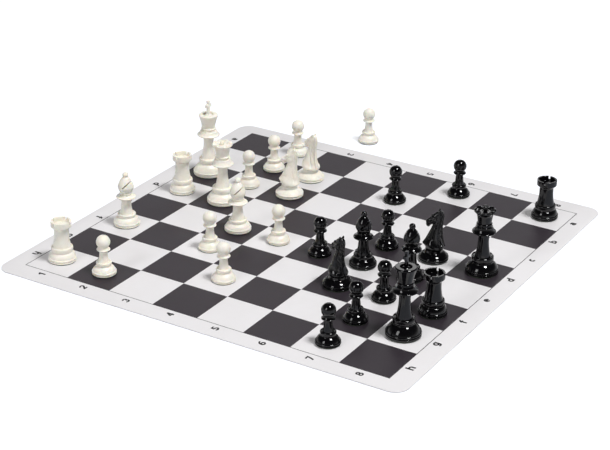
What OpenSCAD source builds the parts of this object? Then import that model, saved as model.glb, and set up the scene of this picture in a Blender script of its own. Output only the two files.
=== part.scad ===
// Club chess set: a roll-up mat and 31 weighted pieces standing in a game position.
// Millimetres, +Z up. The origin is the centre of the mat's underside.
// +X runs from the a-file to the h-file, +Y runs from the first rank to the eighth.

/* [Mat] */
// Side of one square
square_size = 57.15; // [55:0.05:60]
// Width of the plain border round the squares
border_width = 24.2; // [20:0.1:30]
// Thickness of the sheet
mat_thickness = 1.2; // [1:0.1:3]
// Radius of the sheet's corners
corner_radius = 16.5; // [5:0.5:20]
// Depth of the printed layer
print_depth = 0.1; // [0.05:0.05:0.2]
// Bare sheet between neighbouring printed squares at a corner
print_gap = 0.1; // [0.05:0.05:0.2]
// Width of the printed line round the squares
line_width = 0.8; // [0.4:0.1:1.5]

/* [Standing] */
// Share of each piece's small offset from its square's centre that is used
stray = 1; // [0:0.1:1]
// Distance of the taken pawn beyond the mat's edge
taken_pawn_clear = 37.3; // [20:0.1:60]
// How far up the board the taken pawn stands, from the middle
taken_pawn_along = -89.2; // [-200:0.1:200]

/* [Base pads and weights] */
// Thickness of the felt pads
felt_thickness = 0.9; // [0.6:0.1:1.6]
// How far each pad stays inside the base's edge
felt_inset = 0.9; // [0.4:0.1:1.5]
// Thickness of the glue line over a pad
glue_gap = 0.05; // [0.02:0.01:0.1]
// Clearance round a weight in its pocket
weight_gap = 0.2; // [0.1:0.05:0.5]
// Height of a pawn's weight
pawn_weight_height = 5; // [3:0.5:6]
// Height of a rook's, bishop's or knight's weight
officer_weight_height = 6; // [3:0.5:6.5]
// Height of a king's or queen's weight
royal_weight_height = 8; // [3:0.5:9]
// Share of the base's radius that a weight fills
weight_share = 0.55; // [0.4:0.01:0.6]

/* [Turned shapes] */
// Height at which a base is widest, as a share of its radius
swell_share = 0.29; // [0.25:0.01:0.33]
// How far the foot is drawn in under the base
foot_tuck = 0.7; // [0.2:0.1:1]
// How far the fine groove lies below the base's edge
groove_drop = 0.7; // [0.5:0.1:1]
// Width of the fine groove
groove_width = 0.7; // [0.4:0.1:0.9]
// Depth of the fine groove
groove_depth = 0.6; // [0.4:0.1:0.8]
// Fullness of the bases' domes
dome_fullness = 0.14; // [0.05:0.01:0.2]
// Height of the cove between a dome and its step
step_rise = 1.2; // [0.8:0.1:1.6]
// Rounding of a step's top edge
step_lip = 1.1; // [0.8:0.1:1.4]
// Depth of the dish on top of a step
step_dish = 0.6; // [0.3:0.1:0.8]
// Hollowness of the stems
stem_hollow = 0.08; // [0.02:0.01:0.12]

/* [Pawn] */
// Height of the pawn
pawn_height = 46.2; // [45:0.1:48]
// Radius of the base
pawn_base_radius = 13.5; // [13:0.1:14.5]
// Radius of the dome's top
pawn_dome_radius = 9; // [8.8:0.1:10]
// Height of the dome's top
pawn_dome_height = 9.6; // [9:0.1:10.4]
// Radius of the step
pawn_step_radius = 8.5; // [8:0.1:8.8]
// Height of the step's top
pawn_step_height = 15.3; // [14.4:0.1:16]
// Radius at the stem's foot
pawn_stem_foot = 6; // [5.5:0.1:6.5]
// Radius at the stem's top
pawn_stem_top = 4.5; // [4:0.1:5]
// Radius of the collar
pawn_collar_radius = 7.5; // [7:0.1:8.5]
// Height of the collar's rim
pawn_collar_height = 29.6; // [28.6:0.1:30.4]
// Radius of the collar's rounded edge
pawn_collar_edge = 0.8; // [0.6:0.1:1]
// Radius of the head
pawn_head_radius = 7.75; // [7.2:0.05:8]

/* [Rook] */
// Height of the rook
rook_height = 48.4; // [47:0.1:51]
// Radius of the base
rook_base_radius = 15.7; // [15:0.1:17]
// Radius of the dome's top
rook_dome_radius = 12.4; // [12.1:0.1:13]
// Height of the dome's top
rook_dome_height = 10.6; // [10:0.1:11]
// Radius of the step
rook_step_radius = 12; // [11.5:0.1:12.1]
// Height of the step's top
rook_step_height = 17.6; // [16.6:0.1:18.4]
// Radius at the stem's foot
rook_stem_foot = 10.4; // [9.5:0.1:11]
// Radius at the stem's top
rook_stem_top = 8.2; // [7.6:0.1:8.8]
// Height of the stem's top
rook_stem_height = 38.2; // [37:0.1:39]
// Radius of the turret
rook_turret_radius = 11.5; // [10.5:0.1:12]
// Height at which the turret's wall begins
rook_turret_height = 41.4; // [40.8:0.1:42.4]
// Thickness of the turret's wall
rook_wall = 2.1; // [1.5:0.1:3]
// Depth of the turret's well
rook_well_depth = 5.4; // [4:0.1:6]
// Width of the turret's slots
rook_slot_width = 2.3; // [1.5:0.1:3]
// Depth of the turret's slots
rook_slot_depth = 3.6; // [2:0.1:4]
// Number of slots
rook_slots = 4; // [2:1:8]

/* [Bishop] */
// Height of the bishop
bishop_height = 66; // [65:0.1:68]
// Radius of the base
bishop_base_radius = 15.5; // [15:0.1:16.5]
// Radius of the dome's top
bishop_dome_radius = 11.6; // [11:0.1:12.5]
// Height of the dome's top
bishop_dome_height = 9.8; // [9.4:0.1:10.4]
// Radius of the step
bishop_step_radius = 10.6; // [10:0.1:10.9]
// Height of the step's top
bishop_step_height = 15; // [14.4:0.1:16]
// Radius at the stem's foot
bishop_stem_foot = 7.8; // [7.2:0.1:8.5]
// Radius at the stem's top
bishop_stem_top = 5.6; // [5:0.1:6.2]
// Radius of the collar
bishop_collar_radius = 11.4; // [10.6:0.1:12.4]
// Height of the collar's rim
bishop_collar_height = 35.4; // [34.6:0.1:36]
// Radius of the collar's rounded edge
bishop_collar_edge = 0.9; // [0.7:0.1:1.1]
// Radius at the top of the slope over the collar
bishop_shoulder_radius = 7.8; // [7.2:0.1:8.6]
// Height of the top of the slope over the collar
bishop_shoulder_height = 38.2; // [37.8:0.1:38.6]
// Radius of the small ring over the collar
bishop_ring_radius = 7.4; // [7.3:0.1:8]
// Height of the small ring
bishop_ring_height = 40; // [39.8:0.1:40.6]
// Radius of the mitre's foot, above the ring
bishop_neck_radius = 6.2; // [5.8:0.1:6.2]
// Radius of the mitre at its widest
bishop_mitre_radius = 9.2; // [8.5:0.1:10]
// Height at which the mitre is widest
bishop_mitre_height = 47; // [46:0.1:49]
// Radius of the ball on the mitre
bishop_ball_radius = 3.6; // [3.3:0.1:3.9]
// Width of the mitre's cut
bishop_cut_width = 1.4; // [1:0.1:2]
// Slope of the mitre's cut
bishop_cut_slope = 42; // [35:1:50]
// How far the mitre's cut passes the centre
bishop_cut_reach = 3; // [1:0.1:4]
// Height at which the mitre's cut crosses the centre
bishop_cut_height = 49.6; // [48:0.1:51]

/* [Knight] */
// Height of the knight
knight_height = 60.8; // [60:0.1:63]
// Radius of the base
knight_base_radius = 16.8; // [16:0.1:18]
// Radius of the dome's top
knight_dome_radius = 10.8; // [10.2:0.1:11.5]
// Height of the dome's top
knight_dome_height = 9.8; // [9.4:0.1:10.2]
// Radius of the waist band
knight_waist_radius = 9.6; // [9:0.1:10.2]
// Height of the waist band's top
knight_waist_height = 13.6; // [13:0.1:14.2]
// Height of the chest's point
knight_chest_height = 21.4; // [20:0.1:22]
// Reach of the chest's point
knight_chest_reach = 13; // [12:0.1:13.5]
// Reach of the lower mane behind
knight_mane_reach = 11.8; // [11:0.1:12.5]
// Half the width across the shoulders
knight_shoulder = 10.6; // [9.5:0.1:11.5]
// Half the width across the neck
knight_neck = 4.9; // [4:0.1:5.5]
// Half the width across the head
knight_head = 4.1; // [3.4:0.1:4.6]
// Height of the throat
knight_throat_height = 40.6; // [39.5:0.1:41.5]
// Reach of the muzzle
knight_muzzle_reach = 10; // [9:0.1:11]
// Depth of the muzzle
knight_muzzle_depth = 7.4; // [6.5:0.1:8]
// Width of the notch between the ears
knight_ear_notch = 1.4; // [1:0.1:2]

/* [Queen] */
// Height of the queen
queen_height = 79.4; // [78.4:0.1:81]
// Radius of the base
queen_base_radius = 18.6; // [17.5:0.1:19.5]
// Radius of the dome's top
queen_dome_radius = 12.7; // [12.6:0.1:13.4]
// Height of the dome's top
queen_dome_height = 12.6; // [12:0.1:13.2]
// Radius of the step
queen_step_radius = 12.4; // [11.8:0.1:12.5]
// Height of the step's top
queen_step_height = 20.4; // [19.4:0.1:21.4]
// Radius at the stem's foot
queen_stem_foot = 8.8; // [8:0.1:9.6]
// Radius at the stem's top
queen_stem_top = 6.1; // [5.4:0.1:6.6]
// Radius of the collar
queen_collar_radius = 13.2; // [12.4:0.1:14]
// Height of the collar's rim
queen_collar_height = 49.4; // [48.6:0.1:50.2]
// Radius of the collar's rounded edge
queen_collar_edge = 0.9; // [0.7:0.1:1.1]
// Radius at the top of the slope over the collar
queen_shoulder_radius = 9.4; // [8.8:0.1:10]
// Height of the top of the slope over the collar
queen_shoulder_height = 55.8; // [55:0.1:56.6]
// Radius of the small ring over the collar
queen_ring_radius = 8.8; // [8.7:0.1:9.2]
// Height of the small ring
queen_ring_height = 58.8; // [58.2:0.1:59.4]
// Radius of the crown above the ring
queen_body_radius = 7.5; // [7.2:0.1:7.6]
// Radius of the crown where it starts to flare
queen_flare_radius = 8.5; // [8:0.1:9]
// Height at which the crown starts to flare
queen_flare_height = 67.4; // [66:0.1:68]
// Radius of the coronet at its widest
queen_coronet_radius = 12.1; // [11:0.1:13]
// Height at which the coronet is widest
queen_coronet_height = 73.4; // [72.6:0.1:74]
// Height of the coronet's points
queen_point_height = 76; // [75.4:0.1:76.6]
// Number of points
queen_points = 9; // [5:1:12]
// Radius of the scallops between the points
queen_scallop = 2.5; // [1.5:0.1:2.8]
// Radius of the ball in the coronet
queen_ball_radius = 2.9; // [2.6:0.1:3.2]

/* [King] */
// Height of the king
king_height = 96; // [95:0.1:98]
// Radius of the base
king_base_radius = 19; // [18:0.1:20]
// Radius of the dome's top
king_dome_radius = 11.7; // [11.4:0.1:12.6]
// Height of the dome's top
king_dome_height = 15; // [14.2:0.1:15.6]
// Radius of the step
king_step_radius = 12; // [11.4:0.1:12.4]
// Height of the step's top
king_step_height = 21.8; // [20.8:0.1:22.8]
// Radius at the stem's foot
king_stem_foot = 9; // [8.2:0.1:9.8]
// Radius at the stem's top
king_stem_top = 6.3; // [5.6:0.1:6.8]
// Radius of the collar
king_collar_radius = 13.8; // [13:0.1:14.6]
// Height of the collar's rim
king_collar_height = 52.2; // [51.4:0.1:53]
// Radius of the collar's rounded edge
king_collar_edge = 0.9; // [0.7:0.1:1.1]
// Radius at the top of the slope over the collar
king_shoulder_radius = 10.2; // [9.6:0.1:10.8]
// Height of the top of the slope over the collar
king_shoulder_height = 57.4; // [56.6:0.1:58.2]
// Radius of the small ring over the collar
king_ring_radius = 9; // [8.9:0.1:9.4]
// Height of the small ring
king_ring_height = 60.4; // [59.8:0.1:61]
// Radius of the crown above the ring
king_body_radius = 7.8; // [7.4:0.1:7.8]
// Radius of the crown at its widest
king_crown_radius = 11.8; // [10.6:0.1:12.4]
// Height at which the crown is widest
king_crown_height = 77.4; // [76.6:0.1:78]
// Height of the crown's rim
king_rim_height = 78.8; // [78.4:0.1:79.6]
// Radius of the hollow inside the rim
king_hollow_radius = 6.4; // [5.6:0.1:7]
// Depth of the hollow
king_hollow_depth = 2.4; // [1.5:0.1:3]
// Span of the cross's arms
cross_span = 9.6; // [8:0.1:11]
// Width of the cross where it is narrowest
cross_waist = 3; // [2.4:0.1:3.6]
// Thickness of the cross
cross_thickness = 3.2; // [2.5:0.1:4]
// Height at which the cross's arms meet
cross_middle = 89.8; // [89:0.1:90.5]

/* [Hidden] */
squares_across = 8;
middle = (squares_across + 1) / 2;
field = squares_across * square_size;
sheet = field + 2 * border_width;
file_a = 1;
file_b = 2;
file_c = 3;
file_d = 4;
file_e = 5;
file_f = 6;
file_g = 7;
file_h = 8;
full_turn = 360;
quarter_turn = 90;
half_round = 1;
bend_steps = 6;
slack = 1;
$fn = 72;

plate = felt_thickness + glue_gap;
cove = -0.2;
quarter_round = 0.41;
step_hollow = -0.1;
hub_round = 0.35;
slope_round = 0.06;
foot_round = 0.05;
ring_edge = 1;
point_lean = 1;
scallop_rise = 0.8;
hub_inset = 1;
carving_step = 1;
lip_share = 0.35;
bishop_turn = 110;
collar_flare = -0.12;
crown_hollow = -0.04;
rim_round = 0.35;
coronet_flare = -0.2;
turret_flare = -0.2;
turret_lip = 0.8;
mitre_round = 0.2;
mitre_swell = 0.1;
ball_seat = 0.5;
ball_neck = 0.75;
head_neck = 0.7;
head_sink = 0.72;
coronet_wall = 2.4;
rim_width = 1.6;
arm_flare = 0.7;
knight_ear_height = 3;

ivory = [0.95, 0.93, 0.86];
ebony = [0.03, 0.03, 0.035];
felt_green = [0.16, 0.24, 0.17];
sheet_white = [0.86, 0.85, 0.86];
print_black = [0.11, 0.1, 0.12];

// Arc from one knot to the next. A knot is a radius, a height and the bend of what follows it:
// 0 is straight, 1 is half a circle, and a minus sign hollows the shape.
function bend(p, q) =
    let (a = [p[0], p[1]], b = [q[0], q[1]], turn = 4 * atan(p[2]), span = norm(b - a))
    p[2] == 0 ? [a] :
    let (side = [b[1] - a[1], a[0] - b[0]] / span, radius = span / (2 * sin(turn / 2)))
    let (hub = (a + b) / 2 - side * radius * cos(turn / 2), start = atan2(a[1] - hub[1], a[0] - hub[0]))
    [for (i = [0:bend_steps - 1])
        hub + abs(radius) * [cos(start + turn * i / bend_steps), sin(start + turn * i / bend_steps)]];

function outline(knots) =
    [for (i = [0:len(knots) - 1])
        each i < len(knots) - 1 ? bend(knots[i], knots[i + 1]) : [[knots[i][0], knots[i][1]]]];

// Knots of a base, its dome, its step and the start of its stem.
function foot(base, dome, dome_z, step, step_z, stem) = [
    [0, plate, 0],
    [base - foot_tuck, plate, foot_round],
    [base, base * swell_share, dome_fullness],
    [dome, dome_z, cove],
    [step, dome_z + step_rise, 0],
    [step, step_z - step_lip, quarter_round],
    [step - step_lip, step_z, step_hollow],
    [stem, step_z - step_dish, -stem_hollow]];

// Knots of a collar, with the stem's top under it.
function collar(stem, radius, height, edge, after = collar_flare) = [
    [stem, height - 3 * edge, collar_flare],
    [radius - edge, height - edge, half_round],
    [radius - edge, height + edge, after]];

// Knots of the top of the slope over a collar, and of the small ring standing on it.
function shoulder(radius, height, ring, ring_z) = [
    [radius, height, 0],
    [ring - ring_edge, height, 0],
    [ring - ring_edge, ring_z - ring_edge, half_round],
    [ring - ring_edge, ring_z + ring_edge, 0]];

module turned(knots)
    rotate_extrude()
        polygon(outline(knots));

module rounded_square(side, radius) {
    square([side - 2 * radius, side], center = true);
    square([side, side - 2 * radius], center = true);
    for (x = [-1, 1])
        for (y = [-1, 1])
            translate([x, y] * (side / 2 - radius))
                circle(r = radius);
}

// A weighted piece: its shell with a pocket in the base, and the weight in the pocket.
module weighted(base, weight_height) {
    difference() {
        children();
        translate([0, 0, plate - slack])
            cylinder(r = base * weight_share + weight_gap, h = weight_height + weight_gap + slack);
    }
    translate([0, 0, plate])
        cylinder(r = base * weight_share, h = weight_height);
}

// The fine groove just under a base's edge.
module groove(base)
    translate([0, 0, base * swell_share - groove_drop - groove_width])
        difference() {
            cylinder(r = base + slack, h = groove_width);
            translate([0, 0, -slack])
                cylinder(r = base - groove_depth, h = groove_width + 2 * slack);
        }

module pad(base)
    cylinder(r = base - felt_inset, h = felt_thickness);

module on_square(file, rank, right, forward, turn = 0)
    translate([(file - middle) * square_size + stray * right, (rank - middle) * square_size + stray * forward,
        mat_thickness])
        rotate([0, 0, turn])
            children();

module pawn() {
    pad(pawn_base_radius);
    weighted(pawn_base_radius, pawn_weight_height)
        difference() {
            union() {
                turned(concat(
                    foot(pawn_base_radius, pawn_dome_radius, pawn_dome_height, pawn_step_radius,
                        pawn_step_height, pawn_stem_foot),
                    collar(pawn_stem_top, pawn_collar_radius, pawn_collar_height, pawn_collar_edge),
                    [[pawn_head_radius * head_neck, pawn_height - pawn_head_radius * (1 + head_sink), 0],
                        [0, pawn_height - pawn_head_radius, 0]]));
                translate([0, 0, pawn_height - pawn_head_radius])
                    sphere(r = pawn_head_radius);
            }
            groove(pawn_base_radius);
        }
}

module rook()
    weighted(rook_base_radius, officer_weight_height)
        difference() {
            turned(concat(
                foot(rook_base_radius, rook_dome_radius, rook_dome_height, rook_step_radius,
                    rook_step_height, rook_stem_foot),
                [[rook_stem_top, rook_stem_height, turret_flare],
                    [rook_turret_radius - turret_lip, rook_turret_height, rim_round],
                    [rook_turret_radius, rook_turret_height + turret_lip, 0],
                    [rook_turret_radius, rook_height, 0],
                    [rook_turret_radius - rook_wall, rook_height, 0],
                    [rook_turret_radius - rook_wall, rook_height - rook_well_depth, 0],
                    [0, rook_height - rook_well_depth, 0]]));
            for (i = [0:rook_slots - 1])
                rotate([0, 0, i * full_turn / rook_slots])
                    translate([0, -rook_slot_width / 2, rook_height - rook_slot_depth])
                        cube([rook_turret_radius + slack, rook_slot_width, rook_slot_depth + slack]);
            groove(rook_base_radius);
        }

module bishop()
    weighted(bishop_base_radius, officer_weight_height)
        difference() {
            union() {
                turned(concat(
                    foot(bishop_base_radius, bishop_dome_radius, bishop_dome_height, bishop_step_radius,
                        bishop_step_height, bishop_stem_foot),
                    collar(bishop_stem_top, bishop_collar_radius, bishop_collar_height, bishop_collar_edge,
                        slope_round),
                    shoulder(bishop_shoulder_radius, bishop_shoulder_height, bishop_ring_radius,
                        bishop_ring_height),
                    [[bishop_neck_radius, bishop_ring_height + ring_edge, mitre_swell],
                        [bishop_mitre_radius, bishop_mitre_height, mitre_round],
                        [bishop_ball_radius * ball_neck,
                            bishop_height - 2 * bishop_ball_radius + ball_seat, 0],
                        [0, bishop_height - bishop_ball_radius, 0]]));
                translate([0, 0, bishop_height - bishop_ball_radius])
                    sphere(r = bishop_ball_radius);
            }
            translate([0, 0, bishop_cut_height])
                rotate([0, -bishop_cut_slope, 0])
                    translate([-bishop_cut_reach, -bishop_mitre_radius, -bishop_cut_width / 2])
                        cube([2 * bishop_mitre_radius, 2 * bishop_mitre_radius, bishop_cut_width]);
            groove(bishop_base_radius);
        }

// The knight's head, neck and shoulders, facing +X.
module horse()
    intersection() {
        rotate([quarter_turn, 0, 0])
            translate([0, 0, -knight_base_radius])
                linear_extrude(height = 2 * knight_base_radius)
                    polygon([
                        [-knight_waist_radius, knight_dome_height],
                        [knight_waist_radius, knight_dome_height],
                        [knight_waist_radius, knight_waist_height],
                        [knight_chest_reach, knight_chest_height],
                        [knight_neck, knight_throat_height - carving_step],
                        [knight_neck + carving_step, knight_throat_height],
                        [knight_muzzle_reach - carving_step, knight_throat_height],
                        [knight_muzzle_reach, knight_throat_height + knight_muzzle_depth * lip_share],
                        [knight_muzzle_reach - carving_step,
                            knight_throat_height + knight_muzzle_depth + carving_step],
                        [carving_step, knight_height - knight_ear_height],
                        [-carving_step, knight_height - knight_ear_height],
                        [-knight_neck, knight_height],
                        [-knight_neck - 2 * carving_step, knight_height - knight_ear_height],
                        [-knight_neck - 2 * carving_step, knight_height - 2 * knight_ear_height],
                        [-knight_neck - carving_step, knight_throat_height],
                        [-knight_mane_reach, knight_chest_height - 2 * carving_step],
                        [-knight_waist_radius, knight_waist_height]]);
        rotate([quarter_turn, 0, quarter_turn])
            translate([0, 0, -knight_base_radius])
                linear_extrude(height = 2 * knight_base_radius)
                    polygon([
                        [-knight_waist_radius, knight_dome_height],
                        [knight_waist_radius, knight_dome_height],
                        [knight_waist_radius, knight_waist_height],
                        [knight_shoulder, knight_chest_height],
                        [knight_neck, knight_throat_height],
                        [knight_head, knight_height],
                        [-knight_head, knight_height],
                        [-knight_neck, knight_throat_height],
                        [-knight_shoulder, knight_chest_height],
                        [-knight_waist_radius, knight_waist_height]]);
        turned([
            [0, knight_dome_height, 0],
            [knight_waist_radius, knight_dome_height, 0],
            [knight_waist_radius, knight_waist_height, 0],
            [knight_chest_reach, knight_chest_height, 0],
            [knight_muzzle_reach, knight_throat_height, 0],
            [knight_muzzle_reach, knight_height - knight_ear_height, 0],
            [knight_neck + carving_step, knight_height, 0],
            [0, knight_height, 0]]);
    }

module knight()
    weighted(knight_base_radius, officer_weight_height)
        difference() {
            union() {
                turned([
                    [0, plate, 0],
                    [knight_base_radius - foot_tuck, plate, foot_round],
                    [knight_base_radius, knight_base_radius * swell_share, dome_fullness],
                    [knight_dome_radius, knight_dome_height, cove],
                    [knight_waist_radius, knight_dome_height + step_rise, 0],
                    [0, knight_dome_height + step_rise, 0]]);
                horse();
            }
            translate([-knight_base_radius, -knight_ear_notch / 2, knight_height - knight_ear_height])
                cube([2 * knight_base_radius, knight_ear_notch, knight_ear_height + slack]);
            groove(knight_base_radius);
        }

module queen()
    weighted(queen_base_radius, royal_weight_height)
        difference() {
            union() {
                difference() {
                    turned(concat(
                        foot(queen_base_radius, queen_dome_radius, queen_dome_height, queen_step_radius,
                            queen_step_height, queen_stem_foot),
                        collar(queen_stem_top, queen_collar_radius, queen_collar_height, queen_collar_edge,
                            slope_round),
                        shoulder(queen_shoulder_radius, queen_shoulder_height, queen_ring_radius,
                            queen_ring_height),
                        [[queen_body_radius, queen_ring_height + ring_edge, 0],
                            [queen_flare_radius, queen_flare_height, coronet_flare],
                            [queen_coronet_radius, queen_coronet_height, rim_round / 2],
                            [queen_coronet_radius - point_lean, queen_point_height, 0],
                            [queen_coronet_radius - coronet_wall, queen_point_height, 0],
                            [queen_ball_radius * 2, queen_coronet_height, 0],
                            [0, queen_height - queen_ball_radius, 0]]));
                    for (i = [0:queen_points - 1])
                        rotate([0, 0, i * full_turn / queen_points])
                            translate([queen_ball_radius, 0, queen_point_height + scallop_rise])
                                rotate([0, quarter_turn, 0])
                                    cylinder(r = queen_scallop, h = queen_coronet_radius);
                }
                translate([0, 0, queen_height - queen_ball_radius])
                    sphere(r = queen_ball_radius);
            }
            groove(queen_base_radius);
        }

module cross() {
    flare = cross_waist * arm_flare;
    rotate([quarter_turn, 0, 0])
        translate([0, 0, -cross_thickness / 2])
            linear_extrude(height = cross_thickness)
                for (side = [0, 1])
                    mirror([side, 0])
                        polygon([
                            [0, king_rim_height - king_hollow_depth],
                            [flare, king_rim_height - king_hollow_depth],
                            [cross_waist / 2, cross_middle - cross_waist / 2],
                            [cross_span / 2, cross_middle - flare],
                            [cross_span / 2, cross_middle + flare],
                            [cross_waist / 2, cross_middle + cross_waist / 2],
                            [flare, king_height],
                            [0, king_height]]);
}

module king()
    weighted(king_base_radius, royal_weight_height)
        difference() {
            union() {
                turned(concat(
                    foot(king_base_radius, king_dome_radius, king_dome_height, king_step_radius,
                        king_step_height, king_stem_foot),
                    collar(king_stem_top, king_collar_radius, king_collar_height, king_collar_edge,
                        slope_round),
                    shoulder(king_shoulder_radius, king_shoulder_height, king_ring_radius, king_ring_height),
                    [[king_body_radius, king_ring_height + ring_edge, crown_hollow],
                        [king_crown_radius, king_crown_height, rim_round],
                        [king_crown_radius - rim_width, king_rim_height, 0],
                        [king_hollow_radius, king_rim_height, 0],
                        [king_hollow_radius, king_rim_height - king_hollow_depth, 0],
                        [king_hollow_radius - hub_inset, king_rim_height - king_hollow_depth, hub_round],
                        [0, king_rim_height, 0]]));
                cross();
            }
            groove(king_base_radius);
        }

module mat()
    color(sheet_white)
        difference() {
            linear_extrude(height = mat_thickness)
                rounded_square(sheet, corner_radius);
            dark_tiles(slack);
            line_ring(slack);
        }

// The printed layer lies flush in the top of the sheet. The extra height opens its pockets.
module dark_tiles(extra)
    translate([0, 0, mat_thickness - print_depth])
        linear_extrude(height = print_depth + extra)
            for (file = [1:squares_across])
                for (rank = [1:squares_across])
                    if ((file + rank) % 2 == 0)
                        translate([file - middle, rank - middle] * square_size)
                            square(square_size - print_gap, center = true);

module line_ring(extra)
    translate([0, 0, mat_thickness - print_depth])
        linear_extrude(height = print_depth + extra)
            difference() {
                square(field + 2 * line_width, center = true);
                square(field, center = true);
            }

module dark_squares()
    color(print_black)
        dark_tiles(0);

module border_line()
    color(print_black)
        line_ring(0);

module white_king_c1()
    color(ivory)
        on_square(file_c, 1, -4.4, -2.4)
            king();

module white_king_c1_felt()
    color(felt_green)
        on_square(file_c, 1, -4.4, -2.4)
            pad(king_base_radius);

module white_queen_d2()
    color(ivory)
        on_square(file_d, 2, -0.9, 1.7, 10)
            queen();

module white_queen_d2_felt()
    color(felt_green)
        on_square(file_d, 2, -0.9, 1.7)
            pad(queen_base_radius);

module white_rook_h1()
    color(ivory)
        on_square(file_h, 1, -2.7, -2.5, 6)
            rook();

module white_rook_h1_felt()
    color(felt_green)
        on_square(file_h, 1, -2.7, -2.5)
            pad(rook_base_radius);

module white_rook_d1()
    color(ivory)
        on_square(file_d, 1, 0.4, 1.5)
            rook();

module white_rook_d1_felt()
    color(felt_green)
        on_square(file_d, 1, 0.4, 1.5)
            pad(rook_base_radius);

module white_bishop_f1()
    color(ivory)
        on_square(file_f, 1, -2.0, 1.3, bishop_turn)
            bishop();

module white_bishop_f1_felt()
    color(felt_green)
        on_square(file_f, 1, -2.0, 1.3)
            pad(bishop_base_radius);

module white_bishop_e3()
    color(ivory)
        on_square(file_e, 3, -1.9, 3.3, bishop_turn)
            bishop();

module white_bishop_e3_felt()
    color(felt_green)
        on_square(file_e, 3, -1.9, 3.3)
            pad(bishop_base_radius);

module white_knight_c3()
    color(ivory)
        on_square(file_c, 3, -2.6, 1.7, -65)
            knight();

module white_knight_c3_felt()
    color(felt_green)
        on_square(file_c, 3, -2.6, 1.7)
            pad(knight_base_radius);

module white_knight_b3()
    color(ivory)
        on_square(file_b, 3, -1.3, -2.5, -60)
            knight();

module white_knight_b3_felt()
    color(felt_green)
        on_square(file_b, 3, -1.3, -2.5)
            pad(knight_base_radius);

module white_pawn_a2()
    color(ivory)
        on_square(file_a, 2, -1.7, 0.5)
            pawn();

module white_pawn_b2()
    color(ivory)
        on_square(file_b, 2, -1.4, 1.5)
            pawn();

module white_pawn_c2()
    color(ivory)
        on_square(file_c, 2, 0, 2.2)
            pawn();

module white_pawn_e4()
    color(ivory)
        on_square(file_e, 4, -0.8, 2)
            pawn();

module white_pawn_f3()
    color(ivory)
        on_square(file_f, 3, -0.9, 4.1)
            pawn();

module white_pawn_g4()
    color(ivory)
        on_square(file_g, 4, -1.3, 3.6)
            pawn();

module white_pawn_h2()
    color(ivory)
        on_square(file_h, 2, -1.1, -0.7)
            pawn();

module black_king_g8()
    color(ebony)
        on_square(file_g, 8, 1.5, -1.5)
            king();

module black_king_g8_felt()
    color(felt_green)
        on_square(file_g, 8, 1.5, -1.5)
            pad(king_base_radius);

module black_queen_d8()
    color(ebony)
        on_square(file_d, 8, -1.6, 1.7, 25)
            queen();

module black_queen_d8_felt()
    color(felt_green)
        on_square(file_d, 8, -1.6, 1.7)
            pad(queen_base_radius);

module black_rook_a8()
    color(ebony)
        on_square(file_a, 8, 0.7, 0.6, 9)
            rook();

module black_rook_a8_felt()
    color(felt_green)
        on_square(file_a, 8, 0.7, 0.6)
            pad(rook_base_radius);

module black_rook_f8()
    color(ebony)
        on_square(file_f, 8, 0.1, 1.6, 9)
            rook();

module black_rook_f8_felt()
    color(felt_green)
        on_square(file_f, 8, 0.1, 1.6)
            pad(rook_base_radius);

module black_bishop_e6()
    color(ebony)
        on_square(file_e, 6, -1, -1.9, bishop_turn)
            bishop();

module black_bishop_e6_felt()
    color(felt_green)
        on_square(file_e, 6, -1, -1.9)
            pad(bishop_base_radius);

module black_bishop_e7()
    color(ebony)
        on_square(file_e, 7, -1.8, 0.3, bishop_turn)
            bishop();

module black_bishop_e7_felt()
    color(felt_green)
        on_square(file_e, 7, -1.8, 0.3)
            pad(bishop_base_radius);

module black_knight_f6()
    color(ebony)
        on_square(file_f, 6, 0, 0, -20)
            knight();

module black_knight_f6_felt()
    color(felt_green)
        on_square(file_f, 6, 0, 0)
            pad(knight_base_radius);

module black_knight_d7()
    color(ebony)
        on_square(file_d, 7, 0.2, -0.2, -75)
            knight();

module black_knight_d7_felt()
    color(felt_green)
        on_square(file_d, 7, 0.2, -0.2)
            pad(knight_base_radius);

module black_pawn_a6()
    color(ebony)
        on_square(file_a, 6, -0.3, 1.3)
            pawn();

module black_pawn_b5()
    color(ebony)
        on_square(file_b, 5, 0.2, 2.2)
            pawn();

module black_pawn_d6()
    color(ebony)
        on_square(file_d, 6, 0.7, -2)
            pawn();

module black_pawn_e5()
    color(ebony)
        on_square(file_e, 5, 1.1, 1)
            pawn();

module black_pawn_f7()
    color(ebony)
        on_square(file_f, 7, 0.4, 0.2)
            pawn();

module black_pawn_g7()
    color(ebony)
        on_square(file_g, 7, 0.8, -1.4)
            pawn();

module black_pawn_h7()
    color(ebony)
        on_square(file_h, 7, 1.4, -0.4)
            pawn();

module white_pawn_taken()
    color(ivory)
        translate([-sheet / 2 - taken_pawn_clear, taken_pawn_along, 0])
            pawn();

mat();
dark_squares();
border_line();
white_king_c1();
white_king_c1_felt();
white_queen_d2();
white_queen_d2_felt();
white_rook_h1();
white_rook_h1_felt();
white_rook_d1();
white_rook_d1_felt();
white_bishop_f1();
white_bishop_f1_felt();
white_bishop_e3();
white_bishop_e3_felt();
white_knight_c3();
white_knight_c3_felt();
white_knight_b3();
white_knight_b3_felt();
white_pawn_a2();
white_pawn_b2();
white_pawn_c2();
white_pawn_e4();
white_pawn_f3();
white_pawn_g4();
white_pawn_h2();
white_pawn_taken();
black_king_g8();
black_king_g8_felt();
black_queen_d8();
black_queen_d8_felt();
black_rook_a8();
black_rook_a8_felt();
black_rook_f8();
black_rook_f8_felt();
black_bishop_e6();
black_bishop_e6_felt();
black_bishop_e7();
black_bishop_e7_felt();
black_knight_f6();
black_knight_f6_felt();
black_knight_d7();
black_knight_d7_felt();
black_pawn_a6();
black_pawn_b5();
black_pawn_d6();
black_pawn_e5();
black_pawn_f7();
black_pawn_g7();
black_pawn_h7();
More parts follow.
